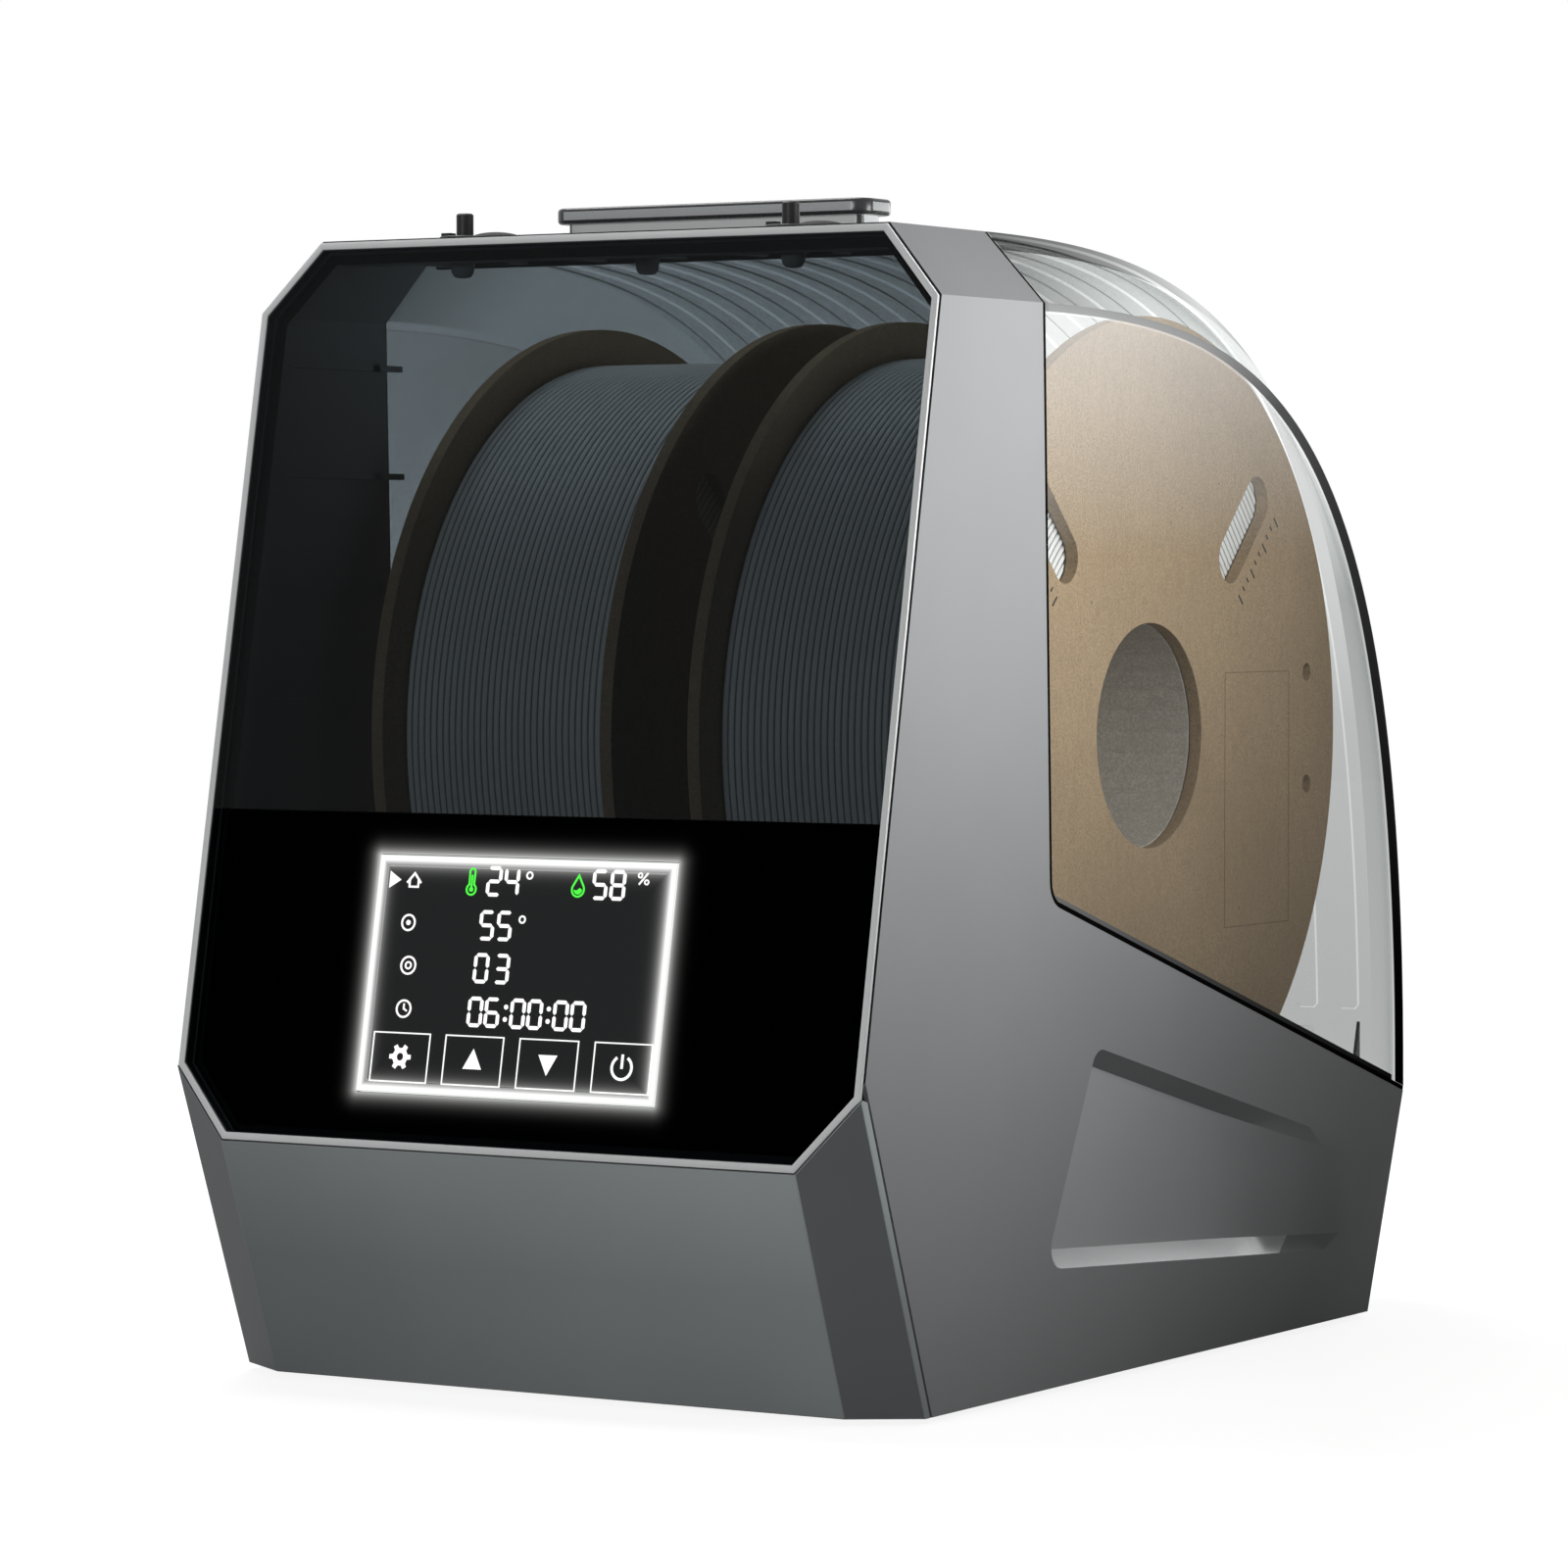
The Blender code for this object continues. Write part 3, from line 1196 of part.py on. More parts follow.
def build():
    clear_scene()
    gray = material('gray_plastic', (0.36, 0.37, 0.37), 0.45)
    pale = material('pale_gray_plastic', (0.55, 0.57, 0.57), 0.4)
    black = material('black_plastic', (0.02, 0.02, 0.02), 0.4)
    rubber = material('black_rubber', (0.015, 0.015, 0.015), 0.8)
    clear = material('clear_plastic', (0.9, 0.92, 0.92), 0.05, alpha=0.3)
    tinted = material('tinted_window', (0.05, 0.06, 0.065), 0.05, alpha=0.6)
    white = material('white_light_guide', (0.95, 0.95, 0.95), 0.5)
    screen = material('screen', (0.01, 0.01, 0.012), 0.2)
    circuit = material('circuit_board', (0.03, 0.16, 0.07), 0.5)
    steel = material('steel', (0.6, 0.6, 0.6), 0.3, metallic=1.0)
    heater = material('heater_aluminium', (0.7, 0.7, 0.7), 0.4, metallic=1.0)
    card = material('cardboard', (0.5, 0.38, 0.24), 0.85)
    filament = material('filament', (0.75, 0.76, 0.75), 0.35)

    body = empty('dryer_frame', (0.0, -REACH_BACK / 2, FOOT_PROUD))
    front = empty('front_plane', (0.0, 0.0, CHIN_HEIGHT), body)
    front.rotation_euler = (math.pi / 2 - FRONT_LEAN, 0.0, 0.0)
    hinge = empty('cover_hinge_axis', (0.0, HINGE_Y, HINGE_Z), body)
    off_hinge = (0.0, -HINGE_Y, -HINGE_Z)

    finish(make_main_shell(), body, gray)
    finish(make_chin_panel(), body, gray)
    finish(make_front_bezel(), front, pale)
    finish(make_front_window(), front, tinted)
    finish(make_base_plate(), body, black)
    corners = ('front_left', 'front_right', 'rear_left', 'rear_right')
    for corner, (x, y) in zip(corners, foot_places()):
        finish(make_foot('foot_' + corner), body, rubber, (x, y, 0.0), smooth=True)
    for corner, (x, y) in zip(corners, screw_places()):
        finish(make_screw('base_screw_' + corner), body, steel, (x, y, 0.0), smooth=True)

    finish(make_clear_cover(), hinge, clear, off_hinge)
    finish(make_cover_handle(), hinge, clear, off_hinge)
    finish(make_cover_gasket(), body, rubber)
    for sign in (-1, 1):
        side = side_name(sign)
        finish(make_hinge_leaf('cover_hinge_leaf_' + side, sign * HINGE_X, True), hinge, black, off_hinge)
        finish(make_hinge_leaf('base_hinge_leaf_' + side, sign * HINGE_X, False), body, black)
        pin_place = (sign * HINGE_X, HINGE_Y, HINGE_Z)
        finish(make_hinge_pin('hinge_pin_' + side), body, steel, pin_place, smooth=True)

    finish(make_display_mask(), front, black)
    finish(make_light_guide(), front, white)
    finish(make_display_panel(), front, screen)
    finish(make_display_board(), front, circuit)
    finish(make_display_housing(), front, black)
    finish(make_humidity_sensor(), front, white)

    finish(make_chamber_floor(), body, black)
    for sign in (-1, 1):
        side = side_name(sign)
        centre = sign * SPOOL_CENTRE_X
        finish(make_cradle('roller_cradle_' + side, centre), body, black)
        for end, (y, z) in roller_places().items():
            finish(make_roller('roller_' + end + '_' + side), body, pale, (centre, y, z), smooth=True)
            finish(make_axle('roller_axle_' + end + '_' + side), body, steel, (centre, y, z), smooth=True)
        axis = empty('spool_axis_' + side, (centre, SPOOL_Y, SPOOL_Z), body)
        rim = sign * (SPOOL_WIDTH - FLANGE_BOARD) / 2
        half = spool_inner_width() / 2 - FIT_GAP
        core_outer = CORE_BORE_RADIUS + CORE_WALL
        finish(make_spool_flange('spool_flange_outer_' + side), axis, card, (rim, 0.0, 0.0), smooth=True)
        finish(make_spool_flange('spool_flange_inner_' + side), axis, card, (-rim, 0.0, 0.0), smooth=True)
        finish(make_tube('spool_core_' + side, CORE_BORE_RADIUS, core_outer, half, CORE_SIDES), axis, card,
               smooth=True)
        inside = core_outer + FIT_GAP
        winding = make_tube('filament_winding_' + side, inside, WINDING_RADIUS, half, SPOOL_SIDES)
        finish(winding, axis, filament, smooth=True)

    finish(make_fan_housing(), body, black)
    finish(make_fan_rotor(), body, black, (0.0, AIR_Y, fan_low() + FAN_BASE + FIT_GAP), smooth=True)
    finish(make_heater_duct(), body, black)
    finish(make_heater_core(), body, heater)
    finish(make_power_supply(), body, circuit)
    finish(make_control_board(), body, circuit)
    finish(make_mains_inlet(), body, black)

    for sign in (-1, 1):
        side = side_name(sign)
        x = sign * OUTLET_X
        outlet = make_outlet_fitting('outlet_fitting_' + side)
        finish(outlet, body, black, (x, OUTLET_Y, BODY_HEIGHT), smooth=True)
        plug = make_outlet_plug('outlet_plug_' + side)
        finish(plug, body, rubber, (x, PLUG_Y, BODY_HEIGHT), smooth=True)


build()
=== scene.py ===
"""Looks of the two-spool filament dryer box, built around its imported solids."""
import json
import math

import bmesh
import bpy
from mathutils import Matrix, Vector


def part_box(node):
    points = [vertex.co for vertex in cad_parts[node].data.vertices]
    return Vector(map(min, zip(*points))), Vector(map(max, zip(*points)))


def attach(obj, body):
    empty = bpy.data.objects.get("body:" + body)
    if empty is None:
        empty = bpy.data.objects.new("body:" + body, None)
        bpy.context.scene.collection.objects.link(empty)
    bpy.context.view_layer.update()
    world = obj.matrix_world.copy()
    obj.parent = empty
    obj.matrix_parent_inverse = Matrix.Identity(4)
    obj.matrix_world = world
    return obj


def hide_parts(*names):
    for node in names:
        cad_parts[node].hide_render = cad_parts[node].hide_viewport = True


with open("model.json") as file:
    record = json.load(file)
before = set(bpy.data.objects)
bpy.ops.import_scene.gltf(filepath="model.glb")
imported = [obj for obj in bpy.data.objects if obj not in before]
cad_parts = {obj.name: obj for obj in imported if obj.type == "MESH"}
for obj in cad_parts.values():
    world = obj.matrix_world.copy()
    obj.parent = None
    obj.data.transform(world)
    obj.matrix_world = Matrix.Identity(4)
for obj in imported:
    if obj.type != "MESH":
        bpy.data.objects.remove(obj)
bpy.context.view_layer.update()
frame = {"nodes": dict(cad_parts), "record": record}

MM = 0.001

# Sizes that the part's source also has
FRONT_LEAN = math.radians(10.92)
CHIN_HEIGHT = 55.8 * MM
CORNER_CUT = 15.0 * MM
CORNER_DROP = 16.5 * MM
CORNER_BACK = 12.9 * MM
TOP_FLAT_END = 84.3 * MM
CREST_TOP_REACH = 118.3 * MM
CREST_REAR_REACH = 194.0 * MM
SIDE_TOP_REACH = 110.7 * MM
SIDE_REAR_REACH = 175.7 * MM
SEAM_GAP = 1.2 * MM
SEAM_TOP_Y = 84.35 * MM
SEAM_CORNER_Y = 88.6 * MM
SEAM_CORNER_Z = 111.4 * MM
SEAM_CORNER_RADIUS = 6.0 * MM
SEAM_SLOPE = 0.3013
COVER_WALL = 2.5 * MM
FIT_GAP = 0.3 * MM
CORE_BORE_RADIUS = 26.9 * MM
FLANGE_SLOT_START = 53.9 * MM
FLANGE_SLOT_END = 86.0 * MM
FLANGE_SLOT_WIDTH = 12.0 * MM
DISPLAY_WIDTH = 80.2 * MM
DISPLAY_TALL = 54.3 * MM
DISPLAY_BASE = 13.4 * MM
BEZEL_FACE = 2.0 * MM
BEZEL_EDGE = 0.6 * MM
BEZEL_DEPTH = 4.4 * MM
SHELL_LIP = 0.9 * MM
HANDLE_PLATE = 3.8 * MM
HANDLE_OVERHANG = 2.8 * MM
HANDLE_CORNER = 4.5 * MM

# Places taken from the frame
BODIES = {node: body for body, nodes in frame["record"]["behaviour"]["bodies"].items() for node in nodes}
CHIN_LOW, CHIN_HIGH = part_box("chin_panel")
BASE_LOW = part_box("base_plate")[0]
HALF_WIDTH = CHIN_HIGH.x
CREST_HALF = HALF_WIDTH - CORNER_CUT
BODY_FRAME = Matrix.Translation((0.0, CHIN_LOW.y, BASE_LOW.z))
BODY_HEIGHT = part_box("main_shell")[1].z - BASE_LOW.z
BODY_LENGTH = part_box("clear_cover")[1].y - CHIN_LOW.y
FRONT_FRAME = BODY_FRAME @ Matrix.Translation((0.0, 0.0, CHIN_HEIGHT)) @ Matrix.Rotation(
    math.pi / 2 - FRONT_LEAN, 4, "X")
MASK_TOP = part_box("display_mask")[1].z - frame["nodes"]["front_window"].matrix_world.translation.z
MASK_DEPTH = 3.2 * MM
GUIDE_LOW, GUIDE_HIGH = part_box("light_guide")
GUIDE_MIDDLE = FRONT_FRAME.inverted() @ ((GUIDE_LOW + GUIDE_HIGH) / 2)
DISPLAY_FRAME = FRONT_FRAME @ Matrix.Translation(
    (GUIDE_MIDDLE.x, DISPLAY_BASE + DISPLAY_TALL / 2, -MASK_DEPTH))


# Node helpers

def feed(tree, node, inputs):
    """Sets inputs of a node to numbers or colours, or links them to the sockets that feed them."""
    for key, value in inputs.items():
        if isinstance(value, bpy.types.NodeSocket):
            tree.links.new(value, node.inputs[key])
        else:
            node.inputs[key].default_value = value


def add(tree, kind, inputs=None, **settings):
    """A new node with its settings and inputs."""
    made = tree.nodes.new(kind)
    for key, value in settings.items():
        setattr(made, key, value)
    feed(tree, made, inputs or {})
    return made


def math_node(tree, operation, first, second=0.0):
    return add(tree, "ShaderNodeMath", {0: first, 1: second}, operation=operation).outputs[0]


def times(tree, first, second):
    """The product of two colours."""
    return add(tree, "ShaderNodeVectorMath", {0: first, 1: second}, operation="MULTIPLY").outputs[0]


def mix_colour(tree, factor, first, second):
    return add(tree, "ShaderNodeMix", {0: factor, 6: first, 7: second}, data_type="RGBA").outputs[2]


def mix_surface(tree, share, first, second):
    return add(tree, "ShaderNodeMixShader", {0: share, 1: first, 2: second}).outputs[0]


def spread(tree, value, low, high, to_low, to_high):
    """Maps a stretch of values onto another."""
    return add(tree, "ShaderNodeMapRange", {"Value": value, "From Min": low, "From Max": high,
                                            "To Min": to_low, "To Max": to_high}).outputs[0]


def object_place(tree):
    return add(tree, "ShaderNodeTexCoord").outputs["Object"]


def object_noise(tree, scale, detail=2.0, roughness=0.5, stretch=(1.0, 1.0, 1.0)):
    place = object_place(tree)
    if stretch != (1.0, 1.0, 1.0):
        place = add(tree, "ShaderNodeMapping", {"Vector": place, "Scale": stretch}).outputs[0]
    return add(tree, "ShaderNodeTexNoise", {"Vector": place, "Scale": scale, "Detail": detail,
                                            "Roughness": roughness}).outputs[0]


def along_axis(tree, axis):
    """Place along one axis of the object."""
    return add(tree, "ShaderNodeSeparateXYZ", {0: object_place(tree)}).outputs[axis]


def by_height(tree, level):
    """An even level or, from two heights and two levels, one that runs between them."""
    return spread(tree, along_axis(tree, 2), *level) if isinstance(level, tuple) else level


def from_inside(tree):
    """1 where a surface is met from within its wall."""
    return add(tree, "ShaderNodeNewGeometry").outputs["Backfacing"]


def shade(colour, factor):
    return (colour[0] * factor, colour[1] * factor, colour[2] * factor, 1.0)


# Materials

CAST = (0.993, 1.003, 1.0)
LAMP_TINT = (0.97, 0.97, 0.97, 1.0)
BUMP_DEPTH = 0.05 * MM
LIT_WHITE = (1.0, 0.82, 0.73)
FRAME_LIGHT = 8.6

# The display's lit line: its inset, and then its width and the reach of its spill in millimetres
FRAME_INSET = 0.3 * MM
FRAME_LINE = 0.95
FRAME_SPILL = 0.87


def new_material(name):
    made = bpy.data.materials.new(name)
    made.use_nodes = True
    return made, made.node_tree, made.node_tree.nodes["Principled BSDF"]


def plastic(name, colour, roughness, grain=0.12, specular=0.35, grain_scale=2600.0, metallic=0.0):
    """Moulded plastic: a fine spark-eroded grain, faint flow patches and a slightly uneven sheen."""
    made, tree, shader = new_material(name)
    flow = spread(tree, object_noise(tree, 14.0, 3.0), 0.3, 0.7, 0.0, 1.0)
    fine = object_noise(tree, grain_scale, 1.0)
    bump = add(tree, "ShaderNodeBump", {"Strength": grain, "Distance": BUMP_DEPTH, "Height": fine})
    feed(tree, shader, {"Base Color": mix_colour(tree, flow, shade(colour, 0.96), shade(colour, 1.04)),
                        "Roughness": spread(tree, fine, 0.3, 0.7, roughness - 0.05, roughness + 0.06),
                        "Normal": bump.outputs[0], "Specular IOR Level": specular, "Metallic": metallic})
    return made


def grade(tree, axis, *stops):
    """A gray that changes along an axis of the object, from stops of place and level."""
    low, high = stops[0][0], stops[-1][0]
    ramp = add(tree, "ShaderNodeValToRGB", {0: spread(tree, along_axis(tree, axis), low, high, 0.0, 1.0)})
    points = ramp.color_ramp.elements
    while len(points) < len(stops):
        points.new(0.5)
    for point, (place, level) in zip(points, stops):
        point.position = (place - low) / (high - low)
        point.color = shade(CAST, level)
    return ramp.outputs[0]


def graded(material, *stops):
    """Lets the gray of a plastic change along an axis of the object; here it paints light and shade."""
    tree = material.node_tree
    shader = tree.nodes["Principled BSDF"]
    even = shader.inputs["Base Color"].links[0].from_socket
    feed(tree, shader, {"Base Color": times(tree, even, grade(tree, *stops))})


def graded_tint(tree, grades):
    """The product of grades."""
    colour = grade(tree, *grades[0])
    for stops in grades[1:]:
        colour = times(tree, colour, grade(tree, *stops))
    return colour


def see_through(name, tint, edge_tint=None, mirror=0.02, painted_sheen_veil=0.0, lamp_tint=LAMP_TINT, inside_tint=None,
                painted_glint=None):
    """Thin clear plastic, tinted evenly or by grades. It mirrors more where it is seen edge on. It can take a
    white veil, a painted sheen, and a glow, a painted highlight.
    """
    made, tree, shader = new_material(name)
    facing = add(tree, "ShaderNodeLayerWeight", {"Blend": 0.5}).outputs["Facing"]
    colour = graded_tint(tree, tint) if isinstance(tint, list) else tint
    if edge_tint:
        colour = mix_colour(tree, math_node(tree, "POWER", facing, 7.0), colour, edge_tint)
    if inside_tint:
        colour = mix_colour(tree, from_inside(tree), colour, graded_tint(tree, inside_tint))
    if lamp_tint:
        shadow = add(tree, "ShaderNodeLightPath").outputs["Is Shadow Ray"]
        colour = mix_colour(tree, shadow, colour, lamp_tint)
    clear = add(tree, "ShaderNodeBsdfTransparent", {"Color": colour}).outputs[0]
    gloss = add(tree, "ShaderNodeMath", {0: math_node(tree, "POWER", facing, 5.0), 1: 0.9, 2: 0.04},
                operation="MULTIPLY_ADD").outputs[0]
    gloss = math_node(tree, "MULTIPLY", gloss, by_height(tree, mirror))
    smear = spread(tree, object_noise(tree, 30.0, 3.0), 0.35, 0.65, 0.03, 0.08)
    feed(tree, shader, {"Base Color": (0.95, 0.96, 0.96, 1.0), "Metallic": 1.0, "Roughness": smear})
    both = mix_surface(tree, gloss, clear, shader.outputs[0])
    # A white diffuse veil: a painted sheen.
    if painted_sheen_veil:
        cloud = add(tree, "ShaderNodeBsdfDiffuse", {"Color": (0.9, 0.91, 0.91, 1.0)}).outputs[0]
        both = mix_surface(tree, by_height(tree, painted_sheen_veil), both, cloud)
    # A glow on the surface: a painted highlight.
    if painted_glint:
        light = add(tree, "ShaderNodeEmission", {"Strength": by_height(tree, painted_glint)}).outputs[0]
        both = add(tree, "ShaderNodeAddShader", {0: both, 1: light}).outputs[0]
        made.cycles.emission_sampling = "NONE"
    feed(tree, tree.nodes["Material Output"], {"Surface": both})
    return made


def edge_band(name, *stops):
    """A dark band along a clear wall's edge: painted shade of what the edge refracts. From inside the wall it
    doesn't show.
    """
    made = plastic(name, (0.1, 0.1, 0.1), 0.4, 0.05, 0.0)
    tree = made.node_tree
    shader = tree.nodes["Principled BSDF"]
    feed(tree, shader, {"Base Color": grade(tree, *stops)})
    clear = add(tree, "ShaderNodeBsdfTransparent").outputs[0]
    both = mix_surface(tree, from_inside(tree), shader.outputs[0], clear)
    feed(tree, tree.nodes["Material Output"], {"Surface": both})
    return made


def cardboard(name, colour):
    """Brown kraft board: soft cloudy tone, fine fibres, grit and scattered dark flecks."""
    made, tree, shader = new_material(name)
    cloud = spread(tree, object_noise(tree, 22.0, 4.0), 0.3, 0.7, 0.0, 1.0)
    fibre = object_noise(tree, 900.0, 3.0, 0.65, (0.35, 1.0, 0.35))
    grit = object_noise(tree, 1700.0, 1.0)
    fleck = object_noise(tree, 520.0, 1.0, 0.4)
    tone = mix_colour(tree, cloud, shade(colour, 0.93), shade(colour, 1.07))
    for noise, low, high, share, level in ((fibre, 0.42, 0.7, 0.35, 0.62), (grit, 0.35, 0.65, 0.55, 0.55),
                                           (fleck, 0.78, 0.84, 0.75, 0.3)):
        tone = mix_colour(tree, spread(tree, noise, low, high, 0.0, share), tone, shade(colour, level))
    bump = add(tree, "ShaderNodeBump", {"Strength": 0.12, "Distance": BUMP_DEPTH, "Height": fibre})
    feed(tree, shader, {"Base Color": tone, "Normal": bump.outputs[0], "Roughness": 0.85,
                        "Specular IOR Level": 0.05})
    return made


def glow(name, colour, strength):
    made, tree, shader = new_material(name)
    feed(tree, shader, {"Base Color": (*colour, 1.0), "Emission Color": (*colour, 1.0),
                        "Emission Strength": strength})
    return made


def beside_frame(tree):
    """Distance out from the lit line's outer edge, in millimetres, over the whole display."""
    place = add(tree, "ShaderNodeVectorMath", {0: object_place(tree), 1: DISPLAY_FRAME.translation},
                operation="SUBTRACT").outputs[0]
    edges = []
    for axis, reach in ((0, DISPLAY_WIDTH / 2), (1, DISPLAY_TALL / 2)):
        along = add(tree, "ShaderNodeVectorMath", {0: place, 1: DISPLAY_FRAME.col[axis].xyz},
                    operation="DOT_PRODUCT").outputs["Value"]
        edges.append(math_node(tree, "SUBTRACT", math_node(tree, "ABSOLUTE", along), reach - FRAME_INSET))
    inner = math_node(tree, "MINIMUM", math_node(tree, "MAXIMUM", *edges), 0.0)
    squares = [math_node(tree, "POWER", math_node(tree, "MAXIMUM", edge, 0.0), 2.0) for edge in edges]
    outer = math_node(tree, "SQRT", math_node(tree, "ADD", *squares))
    return math_node(tree, "MULTIPLY", math_node(tree, "ADD", inner, outer), 1.0 / MM)


def lit_black(name, colour, roughness, screen_light=0.0, specular=0.35):
    """Black plastic around the display's lit line, with the line's light spilling over it."""
    made = plastic(name, colour, roughness, specular=specular)
    tree = made.node_tree
    out = beside_frame(tree)
    inside = math_node(tree, "SUBTRACT", -FRAME_LINE, out)
    away = math_node(tree, "MAXIMUM", math_node(tree, "MAXIMUM", out, inside), 0.0)
    spill = math_node(tree, "EXPONENT", math_node(tree, "MULTIPLY", away, -1.0 / FRAME_SPILL))
    light = math_node(tree, "ADD", math_node(tree, "MULTIPLY", spill, FRAME_LIGHT), screen_light)
    feed(tree, tree.nodes["Principled BSDF"], {"Emission Strength": light,
                                               "Emission Color": (*LIT_WHITE, 1.0)})
    return made


def metal(name, colour, roughness):
    """Drawn metal with fine lines along its length."""
    made, tree, shader = new_material(name)
    lines = object_noise(tree, 700.0, 2.0, 0.6, (0.05, 1.0, 1.0))
    feed(tree, shader, {"Base Color": mix_colour(tree, lines, shade(colour, 0.85), shade(colour, 1.1)),
                        "Roughness": spread(tree, lines, 0.3, 0.7, roughness - 0.06, roughness + 0.08),
                        "Metallic": 1.0})
    return made


# A grade names an axis, 0 to 2 for x to z, and then pairs of a place in metres and a level there
GRAY = plastic("gray_plastic", (0.30, 0.305, 0.31), 0.45, specular=0.02)
CHIN_PAINTED_SHADING = plastic("chin_gray_painted_shading", (0.29, 0.309, 0.313), 0.45, specular=0.02)
# Painted light and shade: the chin is painted darker to its left and lighter to its right and towards its
# top.
graded(CHIN_PAINTED_SHADING, 0, (-0.09, 0.7), (-0.03, 0.92), (0.09, 1.12))
graded(CHIN_PAINTED_SHADING, 2, (0.03, 1.0), (0.056, 1.28))
# The recess's sloping lower wall: a half-metallic gray with a painted highlight in its front half, and
# painted shade towards the rear.
POLISHED_PAINTED_STREAK = plastic("polished_gray_painted_streak", (0.34, 0.345, 0.35), 0.38, 0.05, 0.5, metallic=0.4)
graded(POLISHED_PAINTED_STREAK, 1, (-0.07, 0.75), (-0.01, 1.0), (0.03, 0.8), (0.044, 0.5), (0.053, 0.2), (0.062, 0.12))
# Darker copies of the body gray for the chamfers and the chin's corner facets: painted shade.
FACET_PAINTED_SHADE = plastic("facet_gray_painted_shade", (0.235, 0.24, 0.244), 0.45, specular=0.02)
CHIN_FACET_PAINTED_SHADE = plastic("chin_facet_gray_painted_shade", (0.174, 0.185, 0.188), 0.45, specular=0.02)
# The recess's sunk face: the body gray painted lighter, most towards the front: painted light.
RECESS_PAINTED_LIGHT = plastic("recess_gray_painted_light", (0.30, 0.305, 0.31), 0.45, specular=0.02)
graded(RECESS_PAINTED_LIGHT, 1, (-0.06, 1.4), (0.03, 1.45), (0.065, 1.2), (0.085, 1.0))
PALE = plastic("pale_plastic", (0.76, 0.775, 0.775), 0.45, specular=0.2)
BLACK = plastic("black_plastic", (0.008, 0.008, 0.0085), 0.45, specular=0.2)
RUBBER = plastic("black_rubber", (0.01, 0.01, 0.01), 0.7, 0.3, 0.25, 1500.0)
WHITE = plastic("white_plastic", (0.78, 0.78, 0.77), 0.4)
BOARD = plastic("circuit_board", (0.02, 0.13, 0.05), 0.4)
FILAMENT = plastic("filament", (0.82, 0.83, 0.825), 0.35, 0.05, 0.3)
# The filament painted darker deep in the grooves between turns: painted shade.
GROOVE_PAINTED_SHADE = plastic("filament_groove_painted_shade", (0.4, 0.405, 0.4), 0.5, 0.05, 0.1)
CARD = cardboard("cardboard", (0.45, 0.335, 0.215))
CORE_CARD = cardboard("core_card", (0.72, 0.67, 0.59))
STEEL = metal("steel", (0.56, 0.56, 0.55), 0.28)
ALUMINIUM = metal("heater_aluminium", (0.72, 0.72, 0.72), 0.35)
# The clear plastic's white veil grows near the top: a painted sheen.
CLEAR = see_through("clear_plastic", (0.965, 0.97, 0.968, 1.0), (0.7, 0.72, 0.72, 1.0), 0.1,
                    (0.19, 0.255, 0.0, 0.2), None)
TINTED = see_through("tinted_window", (0.345, 0.38, 0.4, 1.0), (0.05, 0.06, 0.065, 1.0),
                     (MASK_TOP - 0.2 * MM, MASK_TOP + 0.2 * MM, 0.0, 0.14))
# The cover's tints are darker lower down and towards the front of its chamfers: painted shade of what its
# walls refract and reflect.
CREST_PAINTED_SHADE = (2, (0.07, 0.45), (0.15, 0.55), (0.2, 0.77), (0.235, 0.87))
CHAMFER_PAINTED_SHADE = (1, (0.086, 0.5), (0.105, 0.66), (0.12, 0.82), (0.14, 1.0))
CHAMFER_PAINTED_SHADES = [CHAMFER_PAINTED_SHADE, (2, (0.18, 0.44), (0.22, 1.0))]
COVER_CREST = see_through("cover_crest", [CREST_PAINTED_SHADE])
# One wall of each stripe, clearer and glowing near the top: a painted highlight.
STRIPE_PAINTED_GLINT = see_through("stripe_painted_glint_edge", [(2, (0.07, 0.62), (0.15, 0.72), (0.2, 1.0))],
                           painted_glint=(0.19, 0.24, 0.0, 0.5))
# The other wall of each stripe, tinted darker than the crest, most near the top: painted shade.
STRIPE_PAINTED_SHADE = see_through("stripe_painted_shade_edge", [CREST_PAINTED_SHADE, (2, (0.07, 0.9), (0.2, 0.35))])
COVER_CHAMFER = see_through("cover_chamfer", CHAMFER_PAINTED_SHADES)
# A lighter copy of the chamfer's tint for its lower band: painted light.
COVER_CHAMFER_PAINTED_LIGHT = see_through("cover_chamfer_painted_light", [CHAMFER_PAINTED_SHADE, (2, (0.18, 0.53), (0.22, 1.0))])
# Painted shade: the band next to the crest is tinted darkest at its front and darker again at its rear.
COVER_UNDER_CREST = see_through("cover_under_crest", [
    (1, (0.086, 0.14), (0.119, 0.24), (0.142, 0.36), (0.165, 0.6), (0.19, 0.85), (0.22, 0.5), (0.26, 0.35))],
    inside_tint=CHAMFER_PAINTED_SHADES)
# Painted shade along the cover's side edges, darker lower down, and along its foot, darker to the rear.
COVER_EDGE_PAINTED_SHADE = edge_band("cover_edge_painted_shade", 2, (0.08, 0.002), (0.14, 0.025), (0.2, 0.05), (0.226, 0.09),
                       (0.24, 0.25))
COVER_FOOT_PAINTED_SHADE = edge_band("cover_foot_painted_shade", 1, (0.09, 0.17), (0.19, 0.06), (0.27, 0.02))
# A whitish line beside the cover's edge band, its veil growing towards the top: a painted sheen.
COVER_LINE = see_through("cover_line", (0.97, 0.975, 0.975, 1.0), painted_sheen_veil=(0.16, 0.23, 0.05, 0.3),
                         lamp_tint=None)
